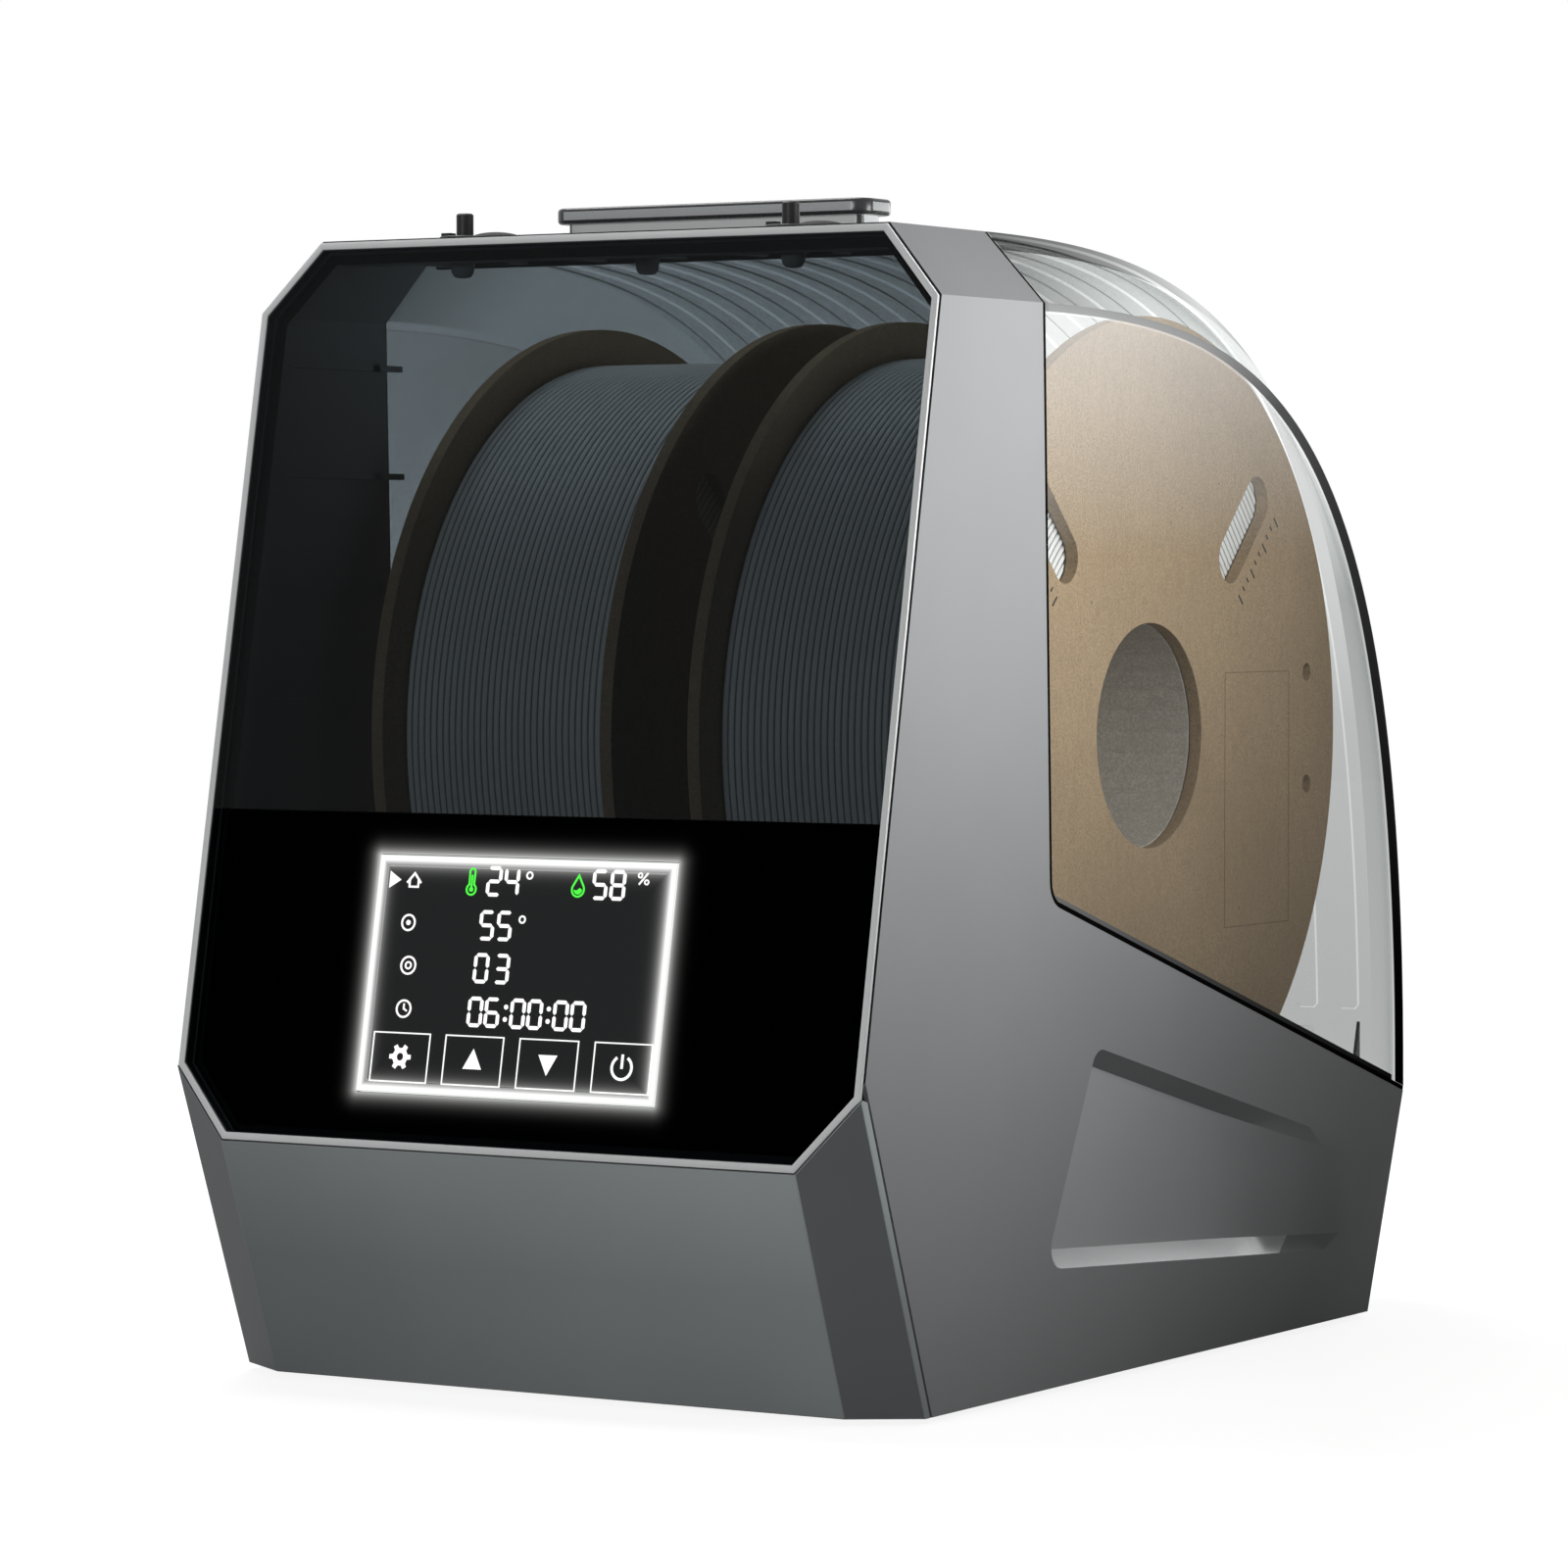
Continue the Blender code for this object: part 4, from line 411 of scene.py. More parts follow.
# The handle's tones by face: its rounded faces painted dark, painted shade, and its plinth lighter, painted
# light.
HANDLE_FACE = plastic("handle_face", (0.4, 0.415, 0.42), 0.3, 0.04)
PAINTED_SHADE_DARK = plastic("painted_shade_dark", (0.022, 0.024, 0.025), 0.25, 0.04)
HANDLE_FOOT_PAINTED_LIGHT = plastic("handle_foot_painted_light", (0.62, 0.63, 0.63), 0.35, 0.04)
SEAL = plastic("seal_rubber", (0.004, 0.004, 0.004), 0.7, 0.1, 0.0)
LEDGE = plastic("ledge", (0.1, 0.107, 0.112), 0.5, specular=0.1)
INK = plastic("flange_ink", (0.03, 0.027, 0.024), 0.8)
FAINT_INK = plastic("faint_ink", (0.24, 0.17, 0.1), 0.8)
GUIDE = lit_black("light_guide", (0.5, 0.5, 0.5), 0.4)
SCREEN = lit_black("screen", (0.05, 0.05, 0.05), 0.35, 0.115)
MASK = lit_black("display_mask", (0.003, 0.003, 0.003), 0.4, specular=0.0)
SIGN = glow("display_sign", LIT_WHITE, 9.5)
GREEN_SIGN = glow("display_green_sign", (0.1, 0.9, 0.06), 8.0)

SLOT_SURFACES = {"gray_plastic": GRAY, "pale_plastic": PALE, "clear_plastic": CLEAR, "tinted_window": TINTED,
                 "light_guide": GUIDE, "white_plastic": WHITE, "screen": SCREEN, "circuit_board": BOARD,
                 "steel": STEEL, "heater_metal": ALUMINIUM, "cardboard": CARD, "filament": FILAMENT,
                 "black_rubber": RUBBER, "black_plastic": BLACK}
SLOTS = {item["node"]: item["material_slot"] for item in frame["record"]["subparts"]}

for node, piece in frame["nodes"].items():
    piece.data.materials.clear()
    surface = SLOT_SURFACES[SLOTS[node]]
    if node == "display_mask":
        surface = MASK
    if node.startswith("cover_hinge_leaf"):
        surface = CLEAR
    if node.startswith("spool_core"):
        surface = CORE_CARD
    piece.data.materials.append(surface)


# Mesh helpers

def new_object(name, data):
    made = bpy.data.objects.new(name, data)
    bpy.context.scene.collection.objects.link(made)
    return made


def make_piece(name, work, surfaces, body, nodes=(), where=BODY_FRAME, smooth=None, even=False):
    """Turns a mesh in work into a piece that rides on a body and may stand for solids."""
    bmesh.ops.recalc_face_normals(work, faces=work.faces)
    mesh = bpy.data.meshes.new(name)
    work.to_mesh(mesh)
    work.free()
    for surface in surfaces:
        mesh.materials.append(surface)
    if smooth is not None:
        mesh.shade_smooth()
        mesh.set_sharp_from_angle(angle=math.radians(smooth))
    piece = new_object(name, mesh)
    piece.matrix_world = where
    if even:
        piece.modifiers.new("even_shading", "WEIGHTED_NORMAL").keep_sharp = True
    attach(piece, body)
    if nodes:
        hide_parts(*nodes)


def add_loops(work, loops, closed=False, material=0):
    """Skins a row of loops of points with equal counts. Its ends are capped, or joined if closed."""
    rings = [[work.verts.new(point) for point in loop] for loop in loops]
    count = len(rings[0])
    pairs = list(zip(rings, rings[1:] + rings[:1])) if closed else list(zip(rings, rings[1:]))
    for span, (low, high) in enumerate(pairs):
        for step in range(count):
            after = (step + 1) % count
            face = work.faces.new((low[step], low[after], high[after], high[step]))
            face.material_index = material if isinstance(material, int) else material[span]
    if not closed:
        work.faces.new(rings[0][::-1]).material_index = material
        work.faces.new(rings[-1]).material_index = material


def add_prism(work, outline, low, high):
    add_loops(work, [[(x, y, z) for x, y in outline] for z in (low, high)])


def add_block(work, low, high):
    add_prism(work, [(low[0], low[1]), (high[0], low[1]), (high[0], high[1]), (low[0], high[1])],
              low[2], high[2])


def add_lathe(work, profile, centre, axis, sides, closed=False, material=0):
    """Turns a (radius, distance along the axis) profile about an axis through a centre."""
    loops = []
    for radius, along in profile:
        turns = {"X": [(along, a, b) for a, b in circle(0.0, 0.0, radius, sides)],
                 "Z": [(a, b, along) for a, b in circle(0.0, 0.0, radius, sides)]}
        loops.append([Vector(point) + Vector(centre) for point in turns[axis]])
    add_loops(work, loops, closed, material)


def softened(node, width):
    """A copy of a solid's mesh with its flat faces joined up and its outside corners rounded off."""
    work = bmesh.new()
    work.from_mesh(frame["nodes"][node].data)
    bmesh.ops.remove_doubles(work, verts=work.verts, dist=0.005 * MM)
    bmesh.ops.dissolve_limit(work, angle_limit=math.radians(0.4), verts=work.verts, edges=work.edges)
    edges = [edge for edge in work.edges if len(edge.link_faces) == 2 and outer_corner(edge)]
    bmesh.ops.bevel(work, geom=edges, offset=width, segments=2, profile=0.5, affect="EDGES",
                    clamp_overlap=True)
    return work


def outer_corner(edge):
    """Whether an edge is an outside corner that a hand could touch, not a joint or a hidden rib."""
    return edge.calc_face_angle_signed() > math.radians(12.0) and edge.calc_length() > 6.0 * MM


def arc(x, y, radius, start, end, steps):
    """Points along part of a circle between two angles in degrees."""
    angles = [math.radians(start + (end - start) * step / steps) for step in range(steps + 1)]
    return [(x + radius * math.cos(angle), y + radius * math.sin(angle)) for angle in angles]


def circle(x, y, radius, sides):
    return arc(x, y, radius, 0.0, 360.0, sides)[:-1]


def rounded_rectangle(width, tall, radius, steps):
    """Outline about the origin, anticlockwise."""
    points = []
    for turn, (a, b) in enumerate(((1, 1), (-1, 1), (-1, -1), (1, -1))):
        x, y = a * (width / 2 - radius), b * (tall / 2 - radius)
        points += arc(x, y, radius, 90.0 * turn, 90.0 * (turn + 1), steps)
    return points


def inset(points, distance):
    """Moves each edge of a clockwise outline inwards."""
    moved = []
    for n, point in enumerate(points):
        here = Vector(point)
        before = (here - Vector(points[n - 1])).normalized()
        after = (Vector(points[(n + 1) % len(points)]) - here).normalized()
        middle = (before + after).normalized()
        inward = Vector((middle.y, -middle.x)) / middle.dot(after)
        moved.append(tuple(here + inward * distance))
    return moved


def turned_outline(outline, along, angle):
    """An outline moved out along an angle and turned with it."""
    cosine, sine = math.cos(angle), math.sin(angle)
    return [((x + along) * cosine - y * sine, (x + along) * sine + y * cosine) for x, y in outline]


def add_plate(work, outlines, thickness, edge, where):
    """A flat plate with holes and softened edges, from a curve with an outer and inner outlines."""
    curve = bpy.data.curves.new("plate", "CURVE")
    curve.dimensions = "2D"
    curve.fill_mode = "BOTH"
    curve.extrude = thickness / 2 - edge
    curve.bevel_depth = edge
    curve.bevel_resolution = 1
    curve.offset = -edge
    for outline in outlines:
        spline = curve.splines.new("POLY")
        spline.points.add(len(outline) - 1)
        spline.use_cyclic_u = True
        for point, (x, y) in zip(spline.points, outline):
            point.co = (x, y, 0.0, 1.0)
    holder = bpy.data.objects.new("plate", curve)
    mesh = bpy.data.meshes.new_from_object(holder)
    mesh.transform(where)
    work.from_mesh(mesh)
    bpy.data.objects.remove(holder)
    bpy.data.curves.remove(curve)
    bpy.data.meshes.remove(mesh)
    bmesh.ops.remove_doubles(work, verts=work.verts, dist=0.002 * MM)


# Casing

SHELL_ROUND = 0.4 * MM
CHIN_ROUND = 0.35 * MM
RECESS_HEIGHTS = (0.02, 0.08)
RECESS_REACH = (-0.075, 0.1)
RECESS_SUNK = 0.12 * MM
STRIP_END = 0.062
SHELL_SURFACES = (GRAY, POLISHED_PAINTED_STREAK, RECESS_PAINTED_LIGHT, FACET_PAINTED_SHADE, BLACK)


def shell_surface(face):
    """The look of a face of the shell, from where it lies and how it is turned, with painted light and shade
    on some faces.
    """
    place, normal = face.calc_center_median(), face.normal
    # Faces that face the front, in the groove behind the bezel, are black: painted shade of the groove.
    if normal.dot(FRONT_FRAME.col[2].xyz) > 0.9:
        return BLACK
    # The top chamfers take the darker copy of the gray: painted shade.
    if normal.z > 0.5 and abs(normal.x) > 0.6 and place.z > CHIN_HIGH.z:
        return FACET_PAINTED_SHADE
    if place.z >= RECESS_HEIGHTS[1] or not RECESS_REACH[0] < place.y < RECESS_REACH[1]:
        return GRAY
    faces_out = normal.x * place.x > 0.9 * abs(place.x) and abs(normal.z) < 0.1
    # The recess's sunk face takes the gray painted lighter: painted light.
    if faces_out and abs(place.x) < HALF_WIDTH - RECESS_SUNK and place.z > RECESS_HEIGHTS[0]:
        return RECESS_PAINTED_LIGHT
    # The recess's sloping lower wall: a painted highlight at the front and the darker copy at the rear.
    if normal.z > 0.1 and abs(normal.x) > 0.4 and abs(normal.y) < 0.5:
        return POLISHED_PAINTED_STREAK if place.y < STRIP_END else FACET_PAINTED_SHADE
    return GRAY


def make_casing():
    """The main shell and chin with their outside corners rounded off."""
    work = softened("main_shell", SHELL_ROUND)
    for face in work.faces:
        face.material_index = SHELL_SURFACES.index(shell_surface(face))
    make_piece("shell_casing", work, SHELL_SURFACES, "base", ("main_shell",), Matrix(), 25,
               True)
    work = softened("chin_panel", CHIN_ROUND)
    # The chin's corner facets take its darker copy: painted shade.
    for face in work.faces:
        face.material_index = int(abs(face.normal.x) > 0.5 and face.normal.y < -0.4)
    make_piece("chin_casing", work, (CHIN_PAINTED_SHADING, CHIN_FACET_PAINTED_SHADE), "base", ("chin_panel",), Matrix(), 25,
               True)


# Front

BEZEL_SOFT = 0.3 * MM
BEZEL_LEDGE = 2.5 * MM
BEZEL_LEDGE_DEPTH = 3.2 * MM


def front_outline(margin):
    """The eight-sided front on the front plane, moved in by a margin."""
    top = (BODY_HEIGHT - CHIN_HEIGHT) / math.cos(FRONT_LEAN)
    corner = CORNER_DROP / math.cos(FRONT_LEAN)
    left = [(-CREST_HALF, 0.0), (-HALF_WIDTH, corner), (-HALF_WIDTH, top - corner), (-CREST_HALF, top)]
    return inset(left + [(-x, s) for x, s in reversed(left)], margin)


def make_bezel():
    """The pale front frame with softened edges and a dark ledge behind the window."""
    tongue = SHELL_LIP + FIT_GAP
    soft, slight = BEZEL_SOFT, BEZEL_SOFT * 0.3
    pale = [(tongue, BEZEL_EDGE), (FIT_GAP, BEZEL_EDGE), (FIT_GAP, soft), (FIT_GAP + slight, slight),
            (FIT_GAP + soft, 0.0), (BEZEL_FACE - soft, 0.0), (BEZEL_FACE - slight, slight)]
    dark = [(BEZEL_FACE, soft), (BEZEL_FACE, BEZEL_LEDGE_DEPTH), (BEZEL_LEDGE, BEZEL_LEDGE_DEPTH),
            (BEZEL_LEDGE, BEZEL_DEPTH), (tongue, BEZEL_DEPTH)]
    loops = [[(x, s, -depth) for x, s in front_outline(margin)] for margin, depth in pale + dark]
    work = bmesh.new()
    add_loops(work, loops, True, [0] * len(pale) + [1] * len(dark))
    make_piece("front_frame", work, (PALE, LEDGE), "base", ("front_bezel",), FRONT_FRAME, 40)


# Cover

SEAM_LEAN = (SEAM_CORNER_Y - SEAM_TOP_Y) / (BODY_HEIGHT - SEAM_CORNER_Z)
COVER_SHIFT = SEAM_GAP / 2
BEVEL_SHARE = math.tan(math.radians(22.5))
CREST_BAND_SHARE = 0.26
CHAMFER_PAINTED_LIGHT_SHARE = 0.6
SIDE_BAND = (1.9 * MM, 5.0 * MM)
SIDE_LINE = (2.4 * MM, 7.0 * MM)
SIDE_FOOT = 1.3 * MM
STRIPES = 13
STRIPE_PITCH = 11.7 * MM
STRIPE_HALF = 3.1 * MM
STRIPE_DEPTH = 0.6 * MM
STRIPE_WALL = 0.3 * MM
STRIPE_CORNER = 0.9 * MM
STRIPE_FROM_SEAM = 5.5 * MM
STRIPE_END_Z = 73.5 * MM
COVER_ROWS = 64
SEAL_GAP = 0.04 * MM
SEAL_THICK = 2.0 * MM
SEAL_SUNK = 0.02
COVER_SURFACES = (CLEAR, COVER_CREST, COVER_CHAMFER, COVER_UNDER_CREST, COVER_EDGE_PAINTED_SHADE, COVER_LINE, STRIPE_PAINTED_GLINT,
                  STRIPE_PAINTED_SHADE, COVER_CHAMFER_PAINTED_LIGHT, COVER_FOOT_PAINTED_SHADE)
PLAIN, CREST, CHAMFER, UNDER_CREST, EDGE, LINE, PAINTED_GLINT_WALL, PAINTED_SHADE_WALL, CHAMFER_PAINTED_LIGHT, FOOT = range(len(COVER_SURFACES))


def seam_height(y):
    return SEAM_CORNER_Z - SEAM_SLOPE * (y - SEAM_CORNER_Y)


def cover_front(z):
    return SEAM_TOP_Y + (BODY_HEIGHT - z) * SEAM_LEAN + COVER_SHIFT * math.hypot(1.0, SEAM_LEAN)


def cover_low(y):
    return seam_height(y) + COVER_SHIFT * math.hypot(1.0, SEAM_SLOPE)


def last_where(test, low, high):
    """The end of the stretch, from a low value, on which a test holds."""
    for step in range(50):
        middle = (low + high) / 2
        low, high = (middle, high) if test(middle) else (low, middle)
    return low


def sweep(side, depth):
    """The cover's curve along its crest or its side as a function of 0 to 1, cut off at the seam."""
    rear = BODY_LENGTH - (CORNER_BACK if side else 0.0)
    top = BODY_HEIGHT - (CORNER_DROP if side else 0.0)
    foot = seam_height(rear)
    top_reach, rear_reach = (SIDE_TOP_REACH, SIDE_REAR_REACH) if side else (CREST_TOP_REACH, CREST_REAR_REACH)
    knots = [Vector(pair) for pair in ((TOP_FLAT_END, top), (TOP_FLAT_END + top_reach, top),
                                       (rear, foot + rear_reach), (rear, foot))]

    def at(t):
        first = [knots[n].lerp(knots[n + 1], t) for n in range(3)]
        second = [first[n].lerp(first[n + 1], t) for n in range(2)]
        along = (second[1] - second[0]).normalized()
        normal = Vector((-along.y, along.x))
        return second[0].lerp(second[1], t) - normal * depth, normal

    def before_front(t):
        place = at(t)[0]
        return place.x < cover_front(place.y)

    def above_seam(t):
        place = at(t)[0]
        return place.y > cover_low(place.x)

    start, end = last_where(before_front, -0.1, 1.1), last_where(above_seam, -0.1, 1.1)
    return lambda f: at(start + (end - start) * f)


def stripe_rows():
    """Rows along the cover as (share of its length, ramp down into a stripe, how far its corner is cut)."""
    crest = sweep(False, 0.0)
    start = crest(0.0)[0]
    first = last_where(lambda f: (crest(f)[0] - start).length < STRIPE_FROM_SEAM, 0.0, 1.0)
    last = last_where(lambda f: crest(f)[0].y > STRIPE_END_Z, 0.0, 1.0)
    probe = 0.01
    front, rear = [probe / (crest(f + probe)[0] - crest(f)[0]).length for f in (first, last - probe)]
    low = first + (STRIPE_WALL + STRIPE_CORNER) * front
    high = last - (STRIPE_WALL + STRIPE_CORNER) * rear
    rows = [(0.0, 0.0, 0.0), (first / 2, 0.0, 0.0), (first, 0.0, 1.0),
            (first + STRIPE_WALL * front, 1.0, 1.0)]
    rows += [(low + (high - low) * step / COVER_ROWS, 1.0, 0.0) for step in range(COVER_ROWS + 1)]
    rows += [(last - STRIPE_WALL * rear, 1.0, 1.0), (last, 0.0, 1.0), ((last + 1.0) / 2, 0.0, 0.0),
             (1.0 - SIDE_FOOT * rear, 0.0, 0.0), (1.0, 0.0, 0.0)]
    return rows


def crest_columns():
    """Columns across the crest as (x, whether it lies in a stripe, which way its corner is cut)."""
    columns = [(-CREST_HALF, 0.0, 0.0)]
    for number in range(STRIPES):
        middle = (number - (STRIPES - 1) / 2) * STRIPE_PITCH
        foot = STRIPE_HALF - STRIPE_WALL
        columns += [(middle - STRIPE_HALF, 0.0, 1.0), (middle - foot, 1.0, 1.0), (middle + foot, 1.0, -1.0),
                    (middle + STRIPE_HALF, 0.0, -1.0)]
    return columns + [(CREST_HALF, 0.0, 0.0)]


def cover_outside(work, rows):
    """Rows of points from one side of the cover over its crest to the other side."""
    crest, side = sweep(False, 0.0), sweep(True, 0.0)
    bands = [(sweep(True, narrow), sweep(True, wide)) for narrow, wide in (SIDE_BAND, SIDE_LINE)]
    columns = crest_columns()
    outside = []
    for f, ramp, cut in rows:
        place, normal = crest(f)
        low = side(f)[0]
        row = []
        for x, depth, lean in columns:
            point = place - normal * (depth * ramp * STRIPE_DEPTH)
            row.append(work.verts.new((x + lean * cut * STRIPE_CORNER, point.x, point.y)))
        edge = [(CREST_HALF + CORNER_CUT * share, place.lerp(low, share)) for share in
                (CREST_BAND_SHARE, CHAMFER_PAINTED_LIGHT_SHARE, 1.0)]
        wider = min(max((f - 0.25) / 0.5, 0.0), 1.0)
        edge += [(HALF_WIDTH, narrow(f)[0].lerp(wide(f)[0], wider)) for narrow, wide in bands]
        left = [work.verts.new((-x, *point)) for x, point in reversed(edge)]
        outside.append(left + row + [work.verts.new((x, *point)) for x, point in edge])
    return outside


def cover_inside(work, rows):
    """Rows of four points, at the corners of the cover's inside."""
    crest, side = sweep(False, COVER_WALL), sweep(True, COVER_WALL * BEVEL_SHARE)
    crest_x, side_x = CREST_HALF - COVER_WALL * BEVEL_SHARE, HALF_WIDTH - COVER_WALL
    inside = []
    for f, ramp, cut in rows:
        high, low = crest(f)[0], side(f)[0]
        inside.append([work.verts.new((x, *place)) for x, place in
                       ((-side_x, low), (-crest_x, high), (crest_x, high), (side_x, low))])
    return inside


def cover_looks(stripe):
    """Looks across the cover's outside, with those of one stripe repeated over its crest."""
    side = [LINE, EDGE, CHAMFER_PAINTED_LIGHT, CHAMFER, UNDER_CREST]
    return side + [CREST] + stripe * STRIPES + side[::-1]


def make_cover():
    """The clear cover: a striped crest, a chamfer and a flat wall each side, with an even wall thickness."""
    work = bmesh.new()
    rows = stripe_rows()
    outer, inner = cover_outside(work, rows), cover_inside(work, rows)
    # The bands and stripe walls carry painted shade, painted light and a painted highlight.
    beyond_stripes, stripe_ends, stripes = [cover_looks(stripe) for stripe in (
        [CREST] * 4, [PAINTED_GLINT_WALL, PAINTED_GLINT_WALL, PAINTED_GLINT_WALL, CREST], [PAINTED_SHADE_WALL, CREST, PAINTED_GLINT_WALL, CREST])]
    for number, (a, b) in enumerate(zip(outer, outer[1:])):
        in_stripe = int(rows[number][1] + rows[number + 1][1])
        for n, look in enumerate((beyond_stripes, stripe_ends, stripes)[in_stripe]):
            face = work.faces.new((a[n], a[n + 1], b[n + 1], b[n]))
            face.material_index = look
            face.smooth = True
    for a, b in zip(inner, inner[1:]):
        for n in range(3):
            work.faces.new((a[n], b[n], b[n + 1], a[n + 1])).smooth = True
    for row, skin in ((outer[0], inner[0]), (outer[-1], inner[-1])):
        work.faces.new(row[5:-5] + [skin[2], skin[1]])
        work.faces.new(row[:6] + [skin[1], skin[0]])
        work.faces.new(row[-6:] + [skin[3], skin[2]])
    corner = seam_corner()
    foot = min(range(len(corner)), key=lambda n: abs(corner[n][1] - cover_low(corner[n][0]) - SIDE_FOOT))
    seam = [vert.co.copy() for vert in outer[0]]
    for n, skin_n, sign in ((-1, -1, 1.0), (0, 0, -1.0)):
        edges = []
        for x in (sign * HALF_WIDTH, sign * (HALF_WIDTH - COVER_WALL)):
            edges.append([work.verts.new((x, y, z)) for y, z in corner])
        work.faces.new([row[n] for row in outer[:-1]] + edges[0][foot:])
        work.faces.new([outer[-2][n], outer[-1][n]] + edges[0][:foot + 1]).material_index = FOOT
        work.faces.new([row[skin_n] for row in inner] + edges[1])
        outside = [outer[-1][n]] + edges[0] + [outer[0][n]]
        inside = [inner[-1][skin_n]] + edges[1] + [inner[0][skin_n]]
        for step in range(len(outside) - 1):
            face = work.faces.new((outside[step], outside[step + 1], inside[step + 1], inside[step]))
            face.material_index = EDGE if step == 0 else PLAIN
        points = [vert.co.copy() for vert in edges[0]]
        seam += points[::-1] + [vert.co.copy() for vert in outer[-1]][::-1] if sign > 0 else points
    make_piece("cover_shell", work, COVER_SURFACES, "cover", ("clear_cover",))
    make_seal(seam, len(outer[0]), len(corner))


def make_seal(seam, across, around):
    """The black seal that fills the seam. It starts from the loop of points along the cover's edge."""
    upright = Vector((0.0, -1.0, -SEAM_LEAN)).normalized()
    lower = Vector((0.0, -SEAM_SLOPE, -1.0)).normalized()
    turn = [upright.lerp(lower, (step + 0.5) / around).normalized() for step in range(around)]
    toward = [upright] * across + turn + [lower] * across + turn[::-1]
    inward = []
    for place in seam:
        side = min(max((abs(place.x) - CREST_HALF) / CORNER_CUT, 0.0), 1.0)
        level = Vector((-side if place.x > 0.0 else side, 0.0, 0.0))
        if place.z > SEAM_CORNER_Z + SEAM_CORNER_RADIUS:
            level.z = side - 1.0
        else:
            level.y = side - 1.0
        inward.append(level.normalized() * SEAL_THICK)
    near, far = SEAL_GAP, SEAM_GAP - SEAL_GAP
    loops = []
    for reach, depth in ((near, SEAL_SUNK), (far, SEAL_SUNK), (far, 1.0), (near, 1.0)):
        loops.append([place + out * reach + into * depth for place, out, into in zip(seam, toward, inward)])
    work = bmesh.new()
    add_loops(work, loops, True)
    make_piece("seam_seal", work, (SEAL,), BODIES["cover_gasket"], ("cover_gasket",))


def seam_corner():
    """The rounded corner of the seam on the cover's side, from its lower run to its upright run."""
    slope = math.atan(SEAM_SLOPE)
    upright = math.pi / 2 + math.atan(SEAM_LEAN)
    y, z = SEAM_CORNER_Y + COVER_SHIFT, SEAM_CORNER_Z
    for step in range(20):
        y = cover_front(z)
        z = cover_low(y)
    radius = SEAM_CORNER_RADIUS - COVER_SHIFT
    lower = Vector((math.cos(slope), -math.sin(slope)))
    upper = Vector((math.cos(upright), math.sin(upright)))
    half = lower.angle(upper) / 2
    centre = Vector((y, z)) + (lower + upper).normalized() * radius / math.sin(half)
    return arc(centre.x, centre.y, radius, math.degrees(-slope) - 90.0, math.degrees(upright) - 270.0, 8)


# Ribs and fins inside

RIB_LEVELS = (156.0 * MM, 182.3 * MM, 209.2 * MM, 235.2 * MM)
RIB_TALL = 1.5 * MM
RIB_ROOT = 2.5 * MM
RIB_IN = 4.2 * MM
RIB_FRONT_GAP = 8.0 * MM
RIB_REAR_GAP = 6.0 * MM
TAB_ROOT = 3.1 * MM
TAB_START = 9.0 * MM
TAB_REACH = 3.3 * MM
ARCH_RIBS = 7
ARCH_PITCH = 22.2 * MM
ARCH_HALF = 0.8 * MM
ARCH_TALL = 2.2 * MM
ARCH_REACH = (50.0 * MM, 79.0 * MM)
CROSS_HALF = 70.0 * MM
CROSS_TALL = 2.6 * MM
CROSS_REACH = (78.0 * MM, 79.5 * MM)
DOME_PLACES = ((-45.0 * MM, 52.5 * MM), (0.0, 62.0 * MM), (45.0 * MM, 52.5 * MM))
DOME_TIP = ((0.5 * MM, 254.6 * MM), (1.8 * MM, 254.8 * MM), (2.5 * MM, 255.6 * MM), (2.8 * MM, 257.0 * MM))
DOME_ROOT = 3.0 * MM
FIN_X = 74.0 * MM
FIN_HALF = 0.45 * MM
FIN_DEPTH = 3.4 * MM
FIN_HEIGHTS = (57.5 * MM, 70.5 * MM)


def make_ribs():
    """Ribs along the shell's side walls and under its arch. The side ribs end in tabs behind the seam."""
    work = bmesh.new()
    for level in RIB_LEVELS:
        front = (level - CHIN_HEIGHT) * math.tan(FRONT_LEAN) + RIB_FRONT_GAP
        rear = cover_front(level)
        for sign in (-1.0, 1.0):
            for root, start, end in ((RIB_ROOT, front, rear - RIB_REAR_GAP),
                                     (TAB_ROOT, rear - TAB_START, rear + TAB_REACH)):
                low, high = sorted((sign * (HALF_WIDTH - root), sign * (HALF_WIDTH - RIB_IN)))
                add_block(work, (low, start, level - RIB_TALL / 2), (high, end, level + RIB_TALL / 2))
    under = BODY_HEIGHT - RIB_ROOT
    for number in range(ARCH_RIBS):
        middle = (number - (ARCH_RIBS - 1) / 2) * ARCH_PITCH
        add_block(work, (middle - ARCH_HALF, ARCH_REACH[0], under - ARCH_TALL),
                  (middle + ARCH_HALF, ARCH_REACH[1], under))
    add_block(work, (-CROSS_HALF, CROSS_REACH[0], under - CROSS_TALL), (CROSS_HALF, CROSS_REACH[1], under))
    dome = [*DOME_TIP, (DOME_ROOT, under), (DOME_TIP[0][0], under)]
    for x, y in DOME_PLACES:
        add_lathe(work, dome, (x, y, 0.0), "Z", 28)
    make_piece("shell_ribs", work, (GRAY,), "base", (), BODY_FRAME, 40)


def make_fins():
    """Two thin gussets inside the cover's rear wall, above its hinge."""
    work = bmesh.new()
    wall = BODY_LENGTH - COVER_WALL + 0.1 * MM
    low, high = FIN_HEIGHTS
    outline = [(wall - FIN_DEPTH, low), (wall, low), (wall, high)]
    for x in (-FIN_X, FIN_X):
        add_loops(work, [[(x + half, y, z) for y, z in outline] for half in (-FIN_HALF, FIN_HALF)])
    # The fins take the dark painted shade.
    make_piece("cover_fins", work, (PAINTED_SHADE_DARK,), "cover")


# Spools

